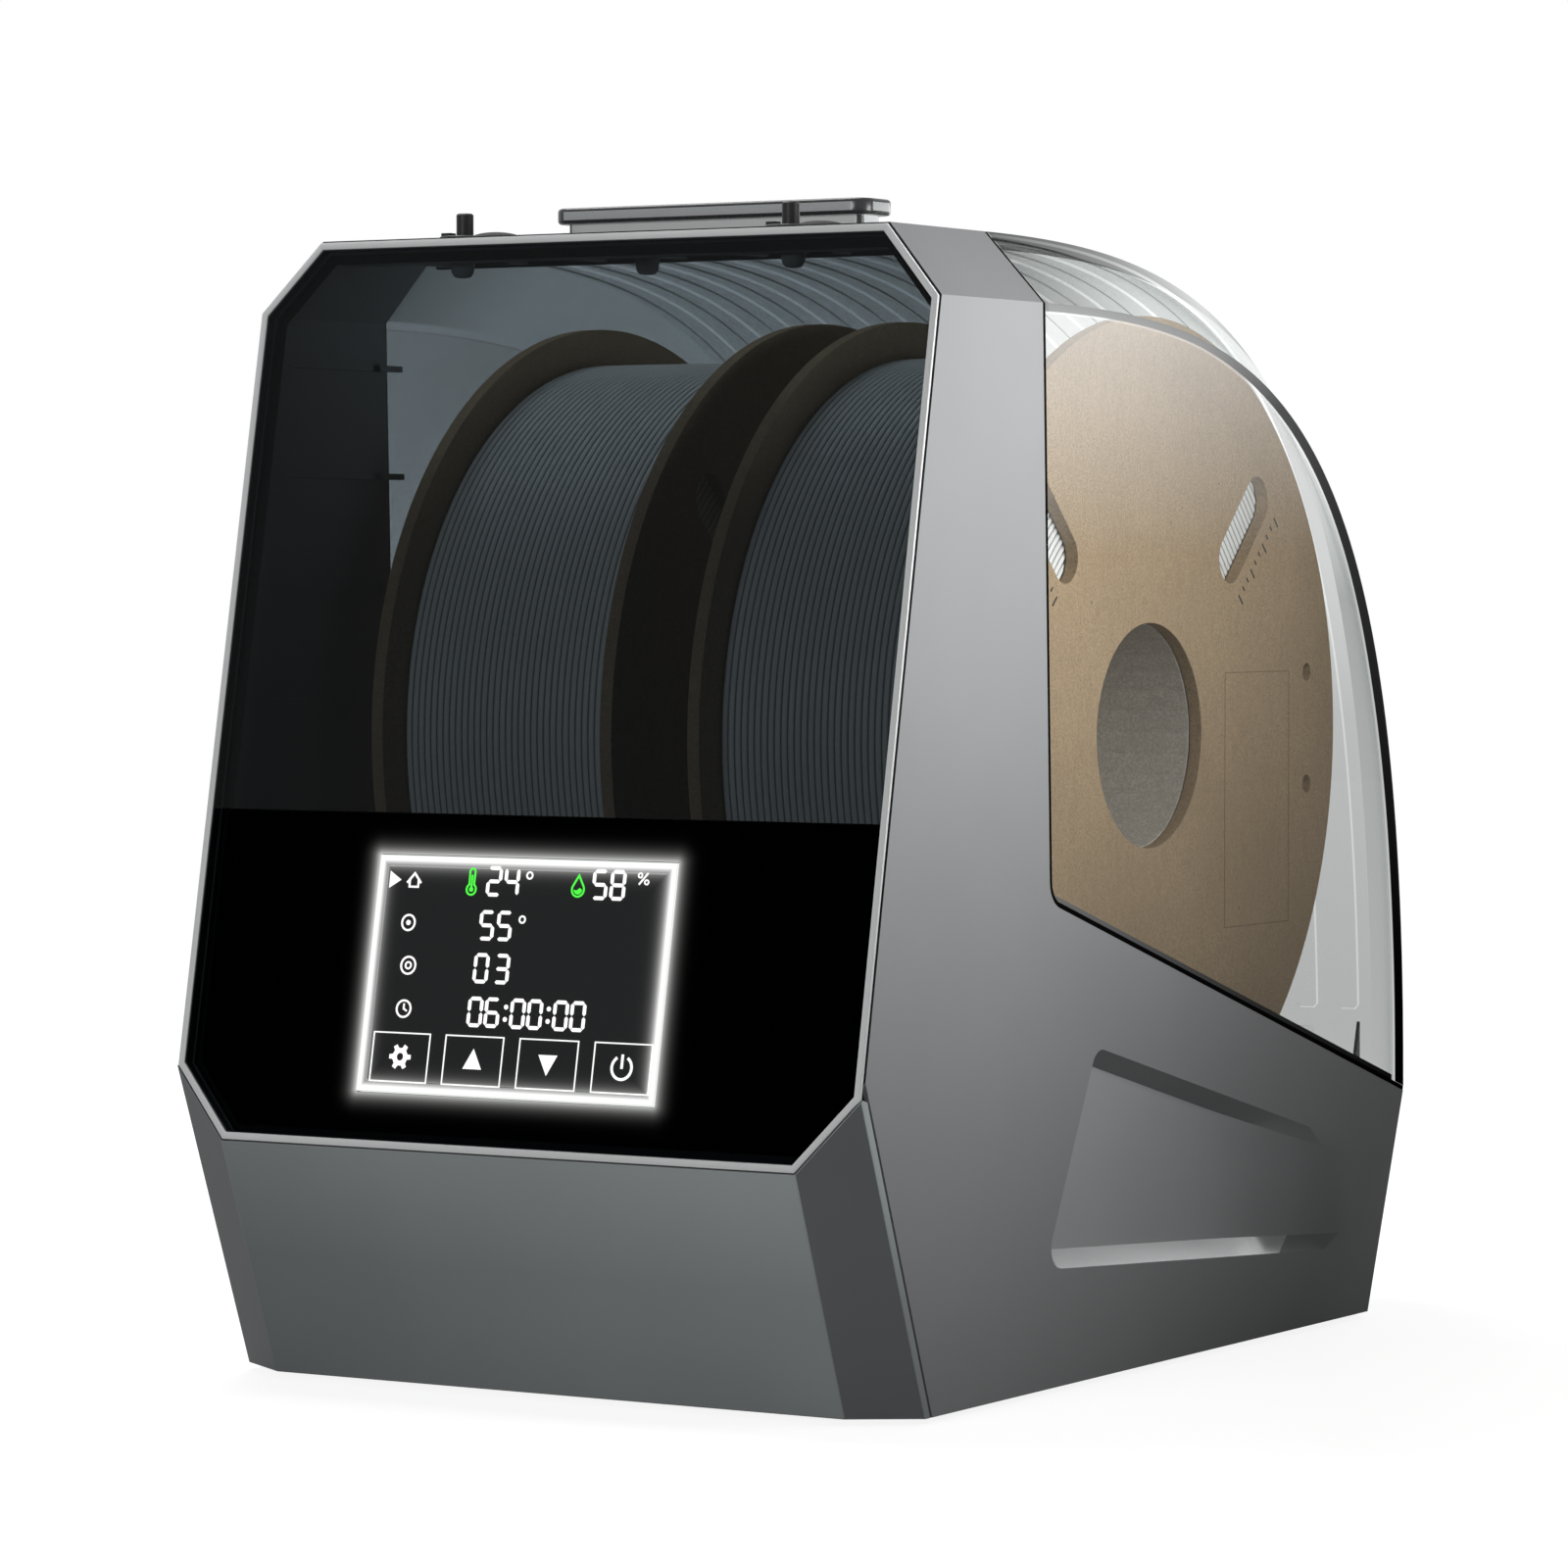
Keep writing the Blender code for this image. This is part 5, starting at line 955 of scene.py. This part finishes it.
TURNED_DISC = Matrix(((0.0, 0.0, 1.0, 0.0), (1.0, 0.0, 0.0, 0.0), (0.0, 1.0, 0.0, 0.0), (0.0, 0.0, 0.0, 1.0)))
FLANGE_SOFT = 0.25 * MM
STRAND_HOLE_RADIUS = 2.2 * MM
STRAND_HOLE_REACH = 85.8 * MM
STRAND_HOLE_ANGLE = math.radians(9.4)
SLOT_ANGLES = (math.radians(45.0), math.radians(135.0))
TICKS = 10
TICK_FIRST = 83.6 * MM
TICK_PITCH = 3.0 * MM
TICK_ASIDE = 9.4 * MM
TICK_LONG = 3.1 * MM
TICK_SHORT = 1.4 * MM
TICK_HALF = 0.27 * MM
PRINT_LOW = (39.3 * MM, -48.1 * MM)
PRINT_HIGH = (74.6 * MM, 14.6 * MM)
PRINT_LINE = 0.3 * MM
PRINT_RISE = 0.06 * MM
PRINT_ROOT = 0.05 * MM
STRAND_PITCH = 1.8 * MM
STRAND_DEPTH = 0.81 * MM
STRAND_BUMP = ((0.0, 1.0), (0.13, 0.4), (0.3, 0.1), (0.5, 0.0), (0.7, 0.1), (0.87, 0.4))
WINDING_BORE = 31.0 * MM
WINDING_SEEN = 46.0 * MM
WINDING_SIDES = 128


def middle_of(node):
    low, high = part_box(node)
    return (low + high) / 2, high - low


def make_flange(side, part, sign):
    """A card disc with two viewing slots, two strand holes and, on its outside, a printed scale."""
    node = "spool_flange_" + part + "_" + side
    centre, size = middle_of(node)
    length = FLANGE_SLOT_END - FLANGE_SLOT_START
    slot = rounded_rectangle(length, FLANGE_SLOT_WIDTH, FLANGE_SLOT_WIDTH / 2 - 0.01 * MM, 8)
    outlines = [circle(0.0, 0.0, size.y / 2, 160), circle(0.0, 0.0, CORE_BORE_RADIUS, 72)]
    outlines += [turned_outline(slot, FLANGE_SLOT_START + length / 2, angle) for angle in SLOT_ANGLES]
    for angle in (-STRAND_HOLE_ANGLE, STRAND_HOLE_ANGLE):
        outlines.append(circle(STRAND_HOLE_REACH * math.cos(angle), STRAND_HOLE_REACH * math.sin(angle),
                               STRAND_HOLE_RADIUS, 20))
    work = bmesh.new()
    add_plate(work, outlines, size.x, FLANGE_SOFT, TURNED_DISC)
    make_piece("card_flange_" + part + "_" + side, work, (CARD,), "spool_" + side, (node,),
               Matrix.Translation(centre), 40, True)
    if part == "outer":
        make_prints(side, sign, centre, size)


def make_prints(side, sign, centre, size):
    """The scale beside each slot and a thin frame, printed on the outside of a flange."""
    skin = sorted((sign * (size.x / 2 - PRINT_ROOT), sign * (size.x / 2 + PRINT_RISE)))

    def stroke(work, outline):
        add_loops(work, [[(x, y, z) for y, z in outline] for x in skin])

    work = bmesh.new()
    for angle, turn in zip(SLOT_ANGLES, (-1.0, 1.0)):
        for step in range(TICKS):
            half = (TICK_SHORT if step % 3 else TICK_LONG) / 2
            across = turn * (TICK_ASIDE + half)
            tick = [(-TICK_HALF, across - half), (TICK_HALF, across - half), (TICK_HALF, across + half),
                    (-TICK_HALF, across + half)]
            stroke(work, turned_outline(tick, TICK_FIRST - step * TICK_PITCH, angle))
    make_piece("flange_scale_" + side, work, (INK,), "spool_" + side, (),
               Matrix.Translation(centre))
    work = bmesh.new()
    (left, low), (right, high) = PRINT_LOW, PRINT_HIGH
    line = PRINT_LINE
    for a, b, c, d in ((left, low, right, low + line), (left, high - line, right, high),
                       (left, low + line, left + line, high - line),
                       (right - line, low + line, right, high - line)):
        stroke(work, [(a, b), (c, b), (c, d), (a, d)])
    make_piece("flange_frame_" + side, work, (FAINT_INK,), "spool_" + side, (),
               Matrix.Translation(centre))


def make_winding(side):
    """Wound filament: a bump for each turn, across its outside and down both ends, with painted shade deep in
    the grooves.
    """
    node = "filament_winding_" + side
    centre, size = middle_of(node)
    outer, half, depth = size.y / 2, size.x / 2, STRAND_DEPTH
    turns = round((outer - WINDING_SEEN) / STRAND_PITCH)
    step = (outer - WINDING_SEEN) / turns
    profile = []
    for turn in range(turns):
        profile += [(WINDING_SEEN + (turn + share) * step, -half + drop * depth)
                    for share, drop in STRAND_BUMP]
    turns = round(2 * half / STRAND_PITCH)
    step = 2 * half / turns
    for turn in range(turns):
        profile += [(outer - drop * depth, -half + (turn + share) * step) for share, drop in STRAND_BUMP
                    if turn or share]
    back = [(radius, -along) for radius, along in profile
            if along <= -half + depth and radius < outer - depth]
    profile = [(WINDING_BORE, -half + depth)] + profile + back[::-1] + [(WINDING_BORE, half - depth)]
    # Faces deep in the grooves between turns take the darker filament: painted shade.
    deep = [min(outer - radius, half - abs(along)) > 0.8 * depth for radius, along in profile]
    shaded_grooves = [int(a or b) for a, b in zip(deep, deep[1:] + deep[:1])]
    work = bmesh.new()
    add_lathe(work, profile, (0.0, 0.0, 0.0), "X", WINDING_SIDES, True, shaded_grooves)
    make_piece("wound_filament_" + side, work, (FILAMENT, GROOVE_PAINTED_SHADE), "spool_" + side, (node,),
               Matrix.Translation(centre), 60)


# Pieces on the top

HANDLE_ROUND = 0.9 * MM
OUTLET_BORE = 1.1 * MM
OUTLET_TUBE = 2.0 * MM
OUTLET_SOFT = 0.35 * MM
COLLAR_RADIUS = 5.9 * MM
COLLAR_SOFT = 0.3 * MM
COLLAR_TOP = 0.8 * MM
CATCH_LOW = (-5.9 * MM, -1.2 * MM, 0.6 * MM)
CATCH_HIGH = (-3.4 * MM, 1.2 * MM, 1.7 * MM)
PLUG_STEM = 3.0 * MM
PLUG_STEM_TIP = 2.2 * MM
PLUG_STEM_LIFT = 3.4 * MM
PLUG_STEM_SOFT = 0.6 * MM
PLUG_RIM = 0.5 * MM


def make_handle():
    """The grip plate on its narrower plinth, with rounded edges."""
    low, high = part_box("cover_handle")
    centre = (low + high) / 2
    width, length = high.x - low.x, high.y - low.y
    top = high.z - centre.z
    under = top - HANDLE_PLATE
    levels = [(HANDLE_OVERHANG, low.z - centre.z), (HANDLE_OVERHANG, under)]
    levels += arc(HANDLE_ROUND, under + HANDLE_ROUND, HANDLE_ROUND, 270.0, 180.0, 4)
    levels += arc(HANDLE_ROUND, top - HANDLE_ROUND, HANDLE_ROUND, 180.0, 90.0, 4)
    loops = []
    for margin, level in levels:
        outline = rounded_rectangle(width - 2 * margin, length - 2 * margin, HANDLE_CORNER - margin, 8)
        loops.append([(x, y, level) for x, y in outline])
    work = bmesh.new()
    add_loops(work, loops)
    bmesh.ops.recalc_face_normals(work, faces=work.faces)
    # Rounded faces take the dark painted shade, and the plinth's flat faces the painted light.
    for face in work.faces:
        flat = max(abs(part) for part in face.normal) > 0.99
        foot = face.calc_center_median().z < under - 0.01 * MM
        face.material_index = (2 if foot else 0) if flat else 1
    make_piece("grip_handle", work, (HANDLE_FACE, PAINTED_SHADE_DARK, HANDLE_FOOT_PAINTED_LIGHT), "cover",
               ("cover_handle",), Matrix.Translation(centre), 50)


def make_outlet(side):
    """A filament outlet: a tube through the arch, a flat collar and a small catch on it."""
    node = "outlet_fitting_" + side
    low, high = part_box(node)
    centre = (low + high) / 2
    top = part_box("main_shell")[1].z
    tube, rim, seat, face = OUTLET_TUBE, COLLAR_RADIUS, top + FIT_GAP, top + COLLAR_TOP
    profile = [(OUTLET_BORE, low.z), (1.7 * MM, low.z + 0.3 * MM), (tube, low.z + 1.0 * MM), (tube, seat),
               (rim - COLLAR_SOFT, seat), (rim, top + 0.4 * MM), (rim, top + 0.6 * MM),
               (rim - COLLAR_SOFT, face), (tube + COLLAR_SOFT, face), (tube, face + COLLAR_SOFT),
               (tube, high.z - OUTLET_SOFT), (tube - OUTLET_SOFT, high.z), (OUTLET_BORE, high.z)]
    work = bmesh.new()
    add_lathe(work, profile, (centre.x, centre.y, 0.0), "Z", 40, True)
    foot = Vector((centre.x, centre.y, top))
    add_block(work, foot + Vector(CATCH_LOW), foot + Vector(CATCH_HIGH))
    make_piece("filament_outlet_" + side, work, (BLACK,), BODIES[node], (node,), Matrix(),
               40)


def make_plug(side):
    """A domed plug on a short stem."""
    node = "outlet_plug_" + side
    low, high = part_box(node)
    centre = (low + high) / 2
    wide = high.x - centre.x
    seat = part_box("main_shell")[1].z + FIT_GAP
    tip = low.z + PLUG_STEM_LIFT
    rise = high.z - seat - PLUG_RIM
    profile = [(PLUG_STEM_TIP, tip), (PLUG_STEM, tip + PLUG_STEM_SOFT), (PLUG_STEM, seat), (wide, seat)]
    for x, y in arc(0.0, 0.0, 1.0, 0.0, 80.0, 6):
        profile.append((wide * x, seat + PLUG_RIM + rise * y))
    profile.append((0.4 * MM, high.z))
    work = bmesh.new()
    add_lathe(work, profile, (centre.x, centre.y, 0.0), "Z", 40)
    make_piece("round_plug_" + side, work, (RUBBER,), BODIES[node], (node,), Matrix(), 40)


# Display, drawn in millimetres from the panel's middle

INK_LOW = 0.01
INK_HIGH = 0.11
STROKE = 0.85
DIGIT_WIDE = 4.1
DIGIT_TALL = 6.9
DIGIT_GAP = 0.12
COLON_RISE = 1.4
COLON_WIDE = 2.3
SIGN_LINE = 0.45
THIN_LINE = 0.4
KEY_LINE = 0.3
POWER_LINE = 0.62
GREEN_LINE = 0.42
SEGMENTS = {"0": "abcdef", "1": "bc", "2": "abged", "3": "abgcd", "4": "fgbc", "5": "afgcd", "6": "afgedc",
            "7": "abc", "8": "abcdefg", "9": "abcdfg"}

# Digits, with the left end and the middle as shares of the panel, and their pitch
NUMBERS = (("24", 0.372, 0.90, 4.75), ("58", 0.726, 0.90, 4.75), ("55", 0.362, 0.715, 4.75),
           ("03", 0.358, 0.535, 5.6), ("06:00:00", 0.353, 0.352, 4.6))
DEGREES = ((0.515, 0.90), (0.505, 0.715))
KEYS = ((0.044, 0.236), (0.29, 0.485), (0.54, 0.735), (0.79, 0.978))
KEY_HEIGHTS = (0.045, 0.25)
KEY_MIDDLE = 0.15


def on_panel(u, v):
    """A place on the display from its shares of width and height."""
    return (u - 0.5) * DISPLAY_WIDTH / MM, (v - 0.5) * DISPLAY_TALL / MM


def add_patch(work, outline):
    add_prism(work, outline, INK_LOW, INK_HIGH)


def add_stroke(work, start, end, width):
    """A bar with pointed ends."""
    a, b = Vector(start), Vector(end)
    along = (b - a).normalized()
    across = Vector((-along.y, along.x)) * width / 2
    tip = along * width / 2
    add_patch(work, [a, a + tip - across, b - tip - across, b, b - tip + across, a + tip + across])


def add_line(work, points, width, closed=False):
    """A line of even width through points, with square joints."""
    points = [Vector(point) for point in points]
    count = len(points)
    left, right = [], []
    for n, point in enumerate(points):
        before = points[n - 1] if closed or n else None
        after = points[(n + 1) % count] if closed or n < count - 1 else None
        first = (point - before).normalized() if before is not None else (after - point).normalized()
        second = (after - point).normalized() if after is not None else first
        along = (first + second).normalized()
        across = Vector((-along.y, along.x)) * width / 2 / max(along.dot(first), 0.3)
        left.append(point + across)
        right.append(point - across)
    loops = [[(*a, INK_LOW), (*b, INK_LOW), (*b, INK_HIGH), (*a, INK_HIGH)] for a, b in zip(left, right)]
    add_loops(work, loops, closed)


def add_ring(work, x, y, radius, sides, width):
    add_line(work, circle(x, y, radius, sides), width, True)


def add_digit(work, character, x, y):
    half, tall = (DIGIT_WIDE - STROKE) / 2, (DIGIT_TALL - STROKE) / 2
    inner, upper = half - DIGIT_GAP, tall - DIGIT_GAP
    ends = {"a": (-inner, tall, inner, tall), "g": (-inner, 0.0, inner, 0.0),
            "d": (-inner, -tall, inner, -tall), "f": (-half, DIGIT_GAP, -half, upper),
            "b": (half, DIGIT_GAP, half, upper), "e": (-half, -upper, -half, -DIGIT_GAP),
            "c": (half, -upper, half, -DIGIT_GAP)}
    for name in SEGMENTS[character]:
        a, b, c, d = ends[name]
        add_stroke(work, (x + a, y + b), (x + c, y + d), STROKE)


def add_number(work, text, u, v, pitch):
    """Digits and colons from a left end, with the middle of each row at v."""
    x, y = on_panel(u, v)
    x += DIGIT_WIDE / 2
    for character in text:
        if character == ":":
            for rise in (-COLON_RISE, COLON_RISE):
                add_patch(work, circle(x - 0.95, y + rise, 0.55, 16))
            x += COLON_WIDE
        else:
            add_digit(work, character, x, y)
            x += pitch


def add_row_signs(work):
    """The pointer, and a house, two rings and a clock in front of the rows."""
    x, y = on_panel(0.06, 0.895)
    add_patch(work, [(x - 1.55, y - 1.95), (x + 1.6, y), (x - 1.55, y + 1.95)])
    x, y = on_panel(0.125, 0.90)
    add_line(work, [(x - 1.9, y - 0.9), (x, y + 1.3), (x + 1.9, y - 0.9)], 0.5)
    add_line(work, [(x - 1.2, y - 0.2), (x - 1.2, y - 1.8), (x + 1.2, y - 1.8), (x + 1.2, y - 0.2)],
             SIGN_LINE)
    x, y = on_panel(0.12, 0.715)
    add_ring(work, x, y, 1.75, 28, SIGN_LINE)
    add_patch(work, circle(x, y, 0.6, 20))
    x, y = on_panel(0.135, 0.535)
    add_ring(work, x, y, 1.95, 32, SIGN_LINE)
    add_ring(work, x, y, 0.75, 20, THIN_LINE)
    x, y = on_panel(0.135, 0.352)
    add_ring(work, x, y, 1.9, 32, SIGN_LINE)
    add_line(work, [(x, y + 1.2), (x, y), (x + 0.9, y - 0.5)], THIN_LINE)


def add_percent(work):
    x, y = on_panel(0.893, 0.93)
    add_line(work, [(x - 1.1, y - 1.3), (x + 1.1, y + 1.3)], THIN_LINE)
    for a, b in ((-0.9, 0.75), (0.9, -0.75)):
        add_ring(work, x + a, y + b, 0.5, 16, 0.34)


def add_keys(work):
    """Four framed keys: a gear, up, down and power."""
    for low, high in KEYS:
        (left, bottom), (right, top) = on_panel(low, KEY_HEIGHTS[0]), on_panel(high, KEY_HEIGHTS[1])
        add_line(work, [(left, bottom), (right, bottom), (right, top), (left, top)], KEY_LINE, True)
    gear, up, down, power = [on_panel((low + high) / 2, KEY_MIDDLE) for low, high in KEYS]
    x, y = gear
    upright_tooth = [(-0.7, -0.62), (0.75, -0.5), (0.75, 0.5), (-0.7, 0.62)]
    for step in range(6):
        tooth = turned_outline(upright_tooth, 2.15, math.tau * step / 6)
        add_patch(work, [(x + a, y + b) for a, b in tooth])
    add_ring(work, x, y, 1.45, 32, 1.1)
    for (x, y), sign in ((up, 1), (down, -1)):
        add_patch(work, [(x - 2.5, y - sign * 2.0), (x + 2.5, y - sign * 2.0), (x, y + sign * 2.6)][::sign])
    x, y = power
    add_line(work, arc(x, y, 2.6, 58.0, -238.0, 36), POWER_LINE)
    add_line(work, [(x, y - 0.2), (x, y + 3.0)], POWER_LINE)


def add_green_signs(work):
    """A thermometer and a drop."""
    x, y = on_panel(0.322, 0.895)
    tube = arc(x, y + 2.3, 0.72, 0.0, 180.0, 12) + arc(x, y - 1.7, 1.25, 120.0, 420.0, 24)
    add_line(work, tube, GREEN_LINE, True)
    add_patch(work, circle(x, y - 1.7, 0.55, 20))
    add_line(work, [(x, y - 1.3), (x, y + 1.6)], THIN_LINE)
    x, y = on_panel(0.68, 0.89)
    add_line(work, arc(x, y - 0.7, 1.6, 150.0, 390.0, 24) + [(x, y + 2.5)], GREEN_LINE, True)
    add_patch(work, arc(x, y - 0.75, 1.05, 180.0, 360.0, 16) + [(x + 0.5, y - 0.35), (x - 0.4, y - 0.95)])


def make_signs(name, work, surface):
    """Turns drawn signs into a piece on the panel."""
    bmesh.ops.scale(work, vec=(MM, MM, MM), verts=work.verts)
    make_piece(name, work, (surface,), "base", (), DISPLAY_FRAME)


def make_display():
    """Lit signs on the panel: numbers and row signs, and four keys under them."""
    work = bmesh.new()
    for text, u, v, pitch in NUMBERS:
        add_number(work, text, u, v, pitch)
    for u, v in DEGREES:
        x, y = on_panel(u, v)
        add_ring(work, x, y + 1.6, 0.75, 20, THIN_LINE)
    add_percent(work)
    add_row_signs(work)
    add_keys(work)
    make_signs("display_signs", work, SIGN)
    work = bmesh.new()
    add_green_signs(work)
    make_signs("display_green_signs", work, GREEN_SIGN)


# Floor, light and camera

FLOOR_RADIUS = 4.0
FLOOR_GRAY = (0.27, 0.27, 0.27, 1.0)
WORLD_LIGHT = 0.07

# Lamps with their place, what they point at, their size and their power
LAMPS = (("key", (0.315, -0.045, 0.228), (0.09, -0.178, 0.385), (0.14, 0.14), 1.08),
         ("fill", (-0.1, -1.48, 0.36), (0.0, -0.1, 0.1), (0.4, 0.3), 6.2),
         ("top", (-0.3, 0.05, 0.95), (0.0, 0.03, 0.2), (0.5, 0.5), 5.8),
         ("back", (0.1, 0.36, 0.215), (0.09, 0.0, 0.03), (0.2, 0.2), 0.4))
CAMERA_LENS = 136.63
CAMERA_PLACE = (0.73864, -1.24812, 0.18693)
CAMERA_TURN = (math.radians(87.99), 0.0, math.radians(31.14))


def seen_by_camera(tree):
    """1 for rays from the camera, mirrors and clear plastic, and 0 for the light that falls on things."""
    path = add(tree, "ShaderNodeLightPath").outputs
    seen = math_node(tree, "MAXIMUM", path["Is Camera Ray"], path["Is Glossy Ray"])
    return math_node(tree, "MAXIMUM", seen, path["Is Transmission Ray"])


def make_floor():
    """A floor that the camera sees as white, a little darker near the object."""
    work = bmesh.new()
    bmesh.ops.create_circle(work, cap_ends=True, segments=96, radius=FLOOR_RADIUS)
    mesh = bpy.data.meshes.new("floor")
    work.to_mesh(mesh)
    work.free()
    floor = new_object("floor", mesh)
    made, tree, shader = new_material("floor")
    away = add(tree, "ShaderNodeVectorMath", {0: object_place(tree)}, operation="LENGTH").outputs["Value"]
    white = math_node(tree, "MULTIPLY", seen_by_camera(tree), spread(tree, away, 0.2, 0.6, 0.88, 1.0))
    feed(tree, shader, {"Base Color": FLOOR_GRAY, "Roughness": 0.9, "Specular IOR Level": 0.0,
                        "Emission Color": (1.0, 1.0, 1.0, 1.0), "Emission Strength": white})
    mesh.materials.append(made)


def make_world():
    world = bpy.data.worlds.new("studio")
    bpy.context.scene.world = world
    world.use_nodes = True
    tree = world.node_tree
    strength = spread(tree, seen_by_camera(tree), 0.0, 1.0, WORLD_LIGHT, 1.0)
    feed(tree, tree.nodes["Background"], {"Color": (1.0, 1.0, 1.0, 1.0), "Strength": strength})


def make_lamp(name, place, target, size, power):
    lamp = bpy.data.lights.new(name, "AREA")
    lamp.shape = "RECTANGLE"
    lamp.size, lamp.size_y = size
    lamp.energy = power
    holder = new_object(name, lamp)
    holder.location = place
    holder.rotation_euler = (Vector(target) - Vector(place)).to_track_quat("-Z", "Y").to_euler()
    holder.visible_camera = False


def make_camera():
    camera = bpy.data.cameras.new("camera")
    camera.sensor_width = 36.0
    camera.lens = CAMERA_LENS
    camera.clip_end = 50.0
    holder = new_object("camera", camera)
    holder.location = CAMERA_PLACE
    holder.rotation_euler = CAMERA_TURN
    bpy.context.scene.camera = holder


make_casing()
make_bezel()
make_cover()
make_ribs()
make_fins()
make_handle()
make_display()
for side, sign in (("left", -1.0), ("right", 1.0)):
    make_flange(side, "outer", sign)
    make_flange(side, "inner", sign)
    make_winding(side)
    make_outlet(side)
    make_plug(side)
make_floor()
make_world()
for lamp in LAMPS:
    make_lamp(*lamp)
make_camera()
bpy.context.scene.view_settings.view_transform = "Standard"
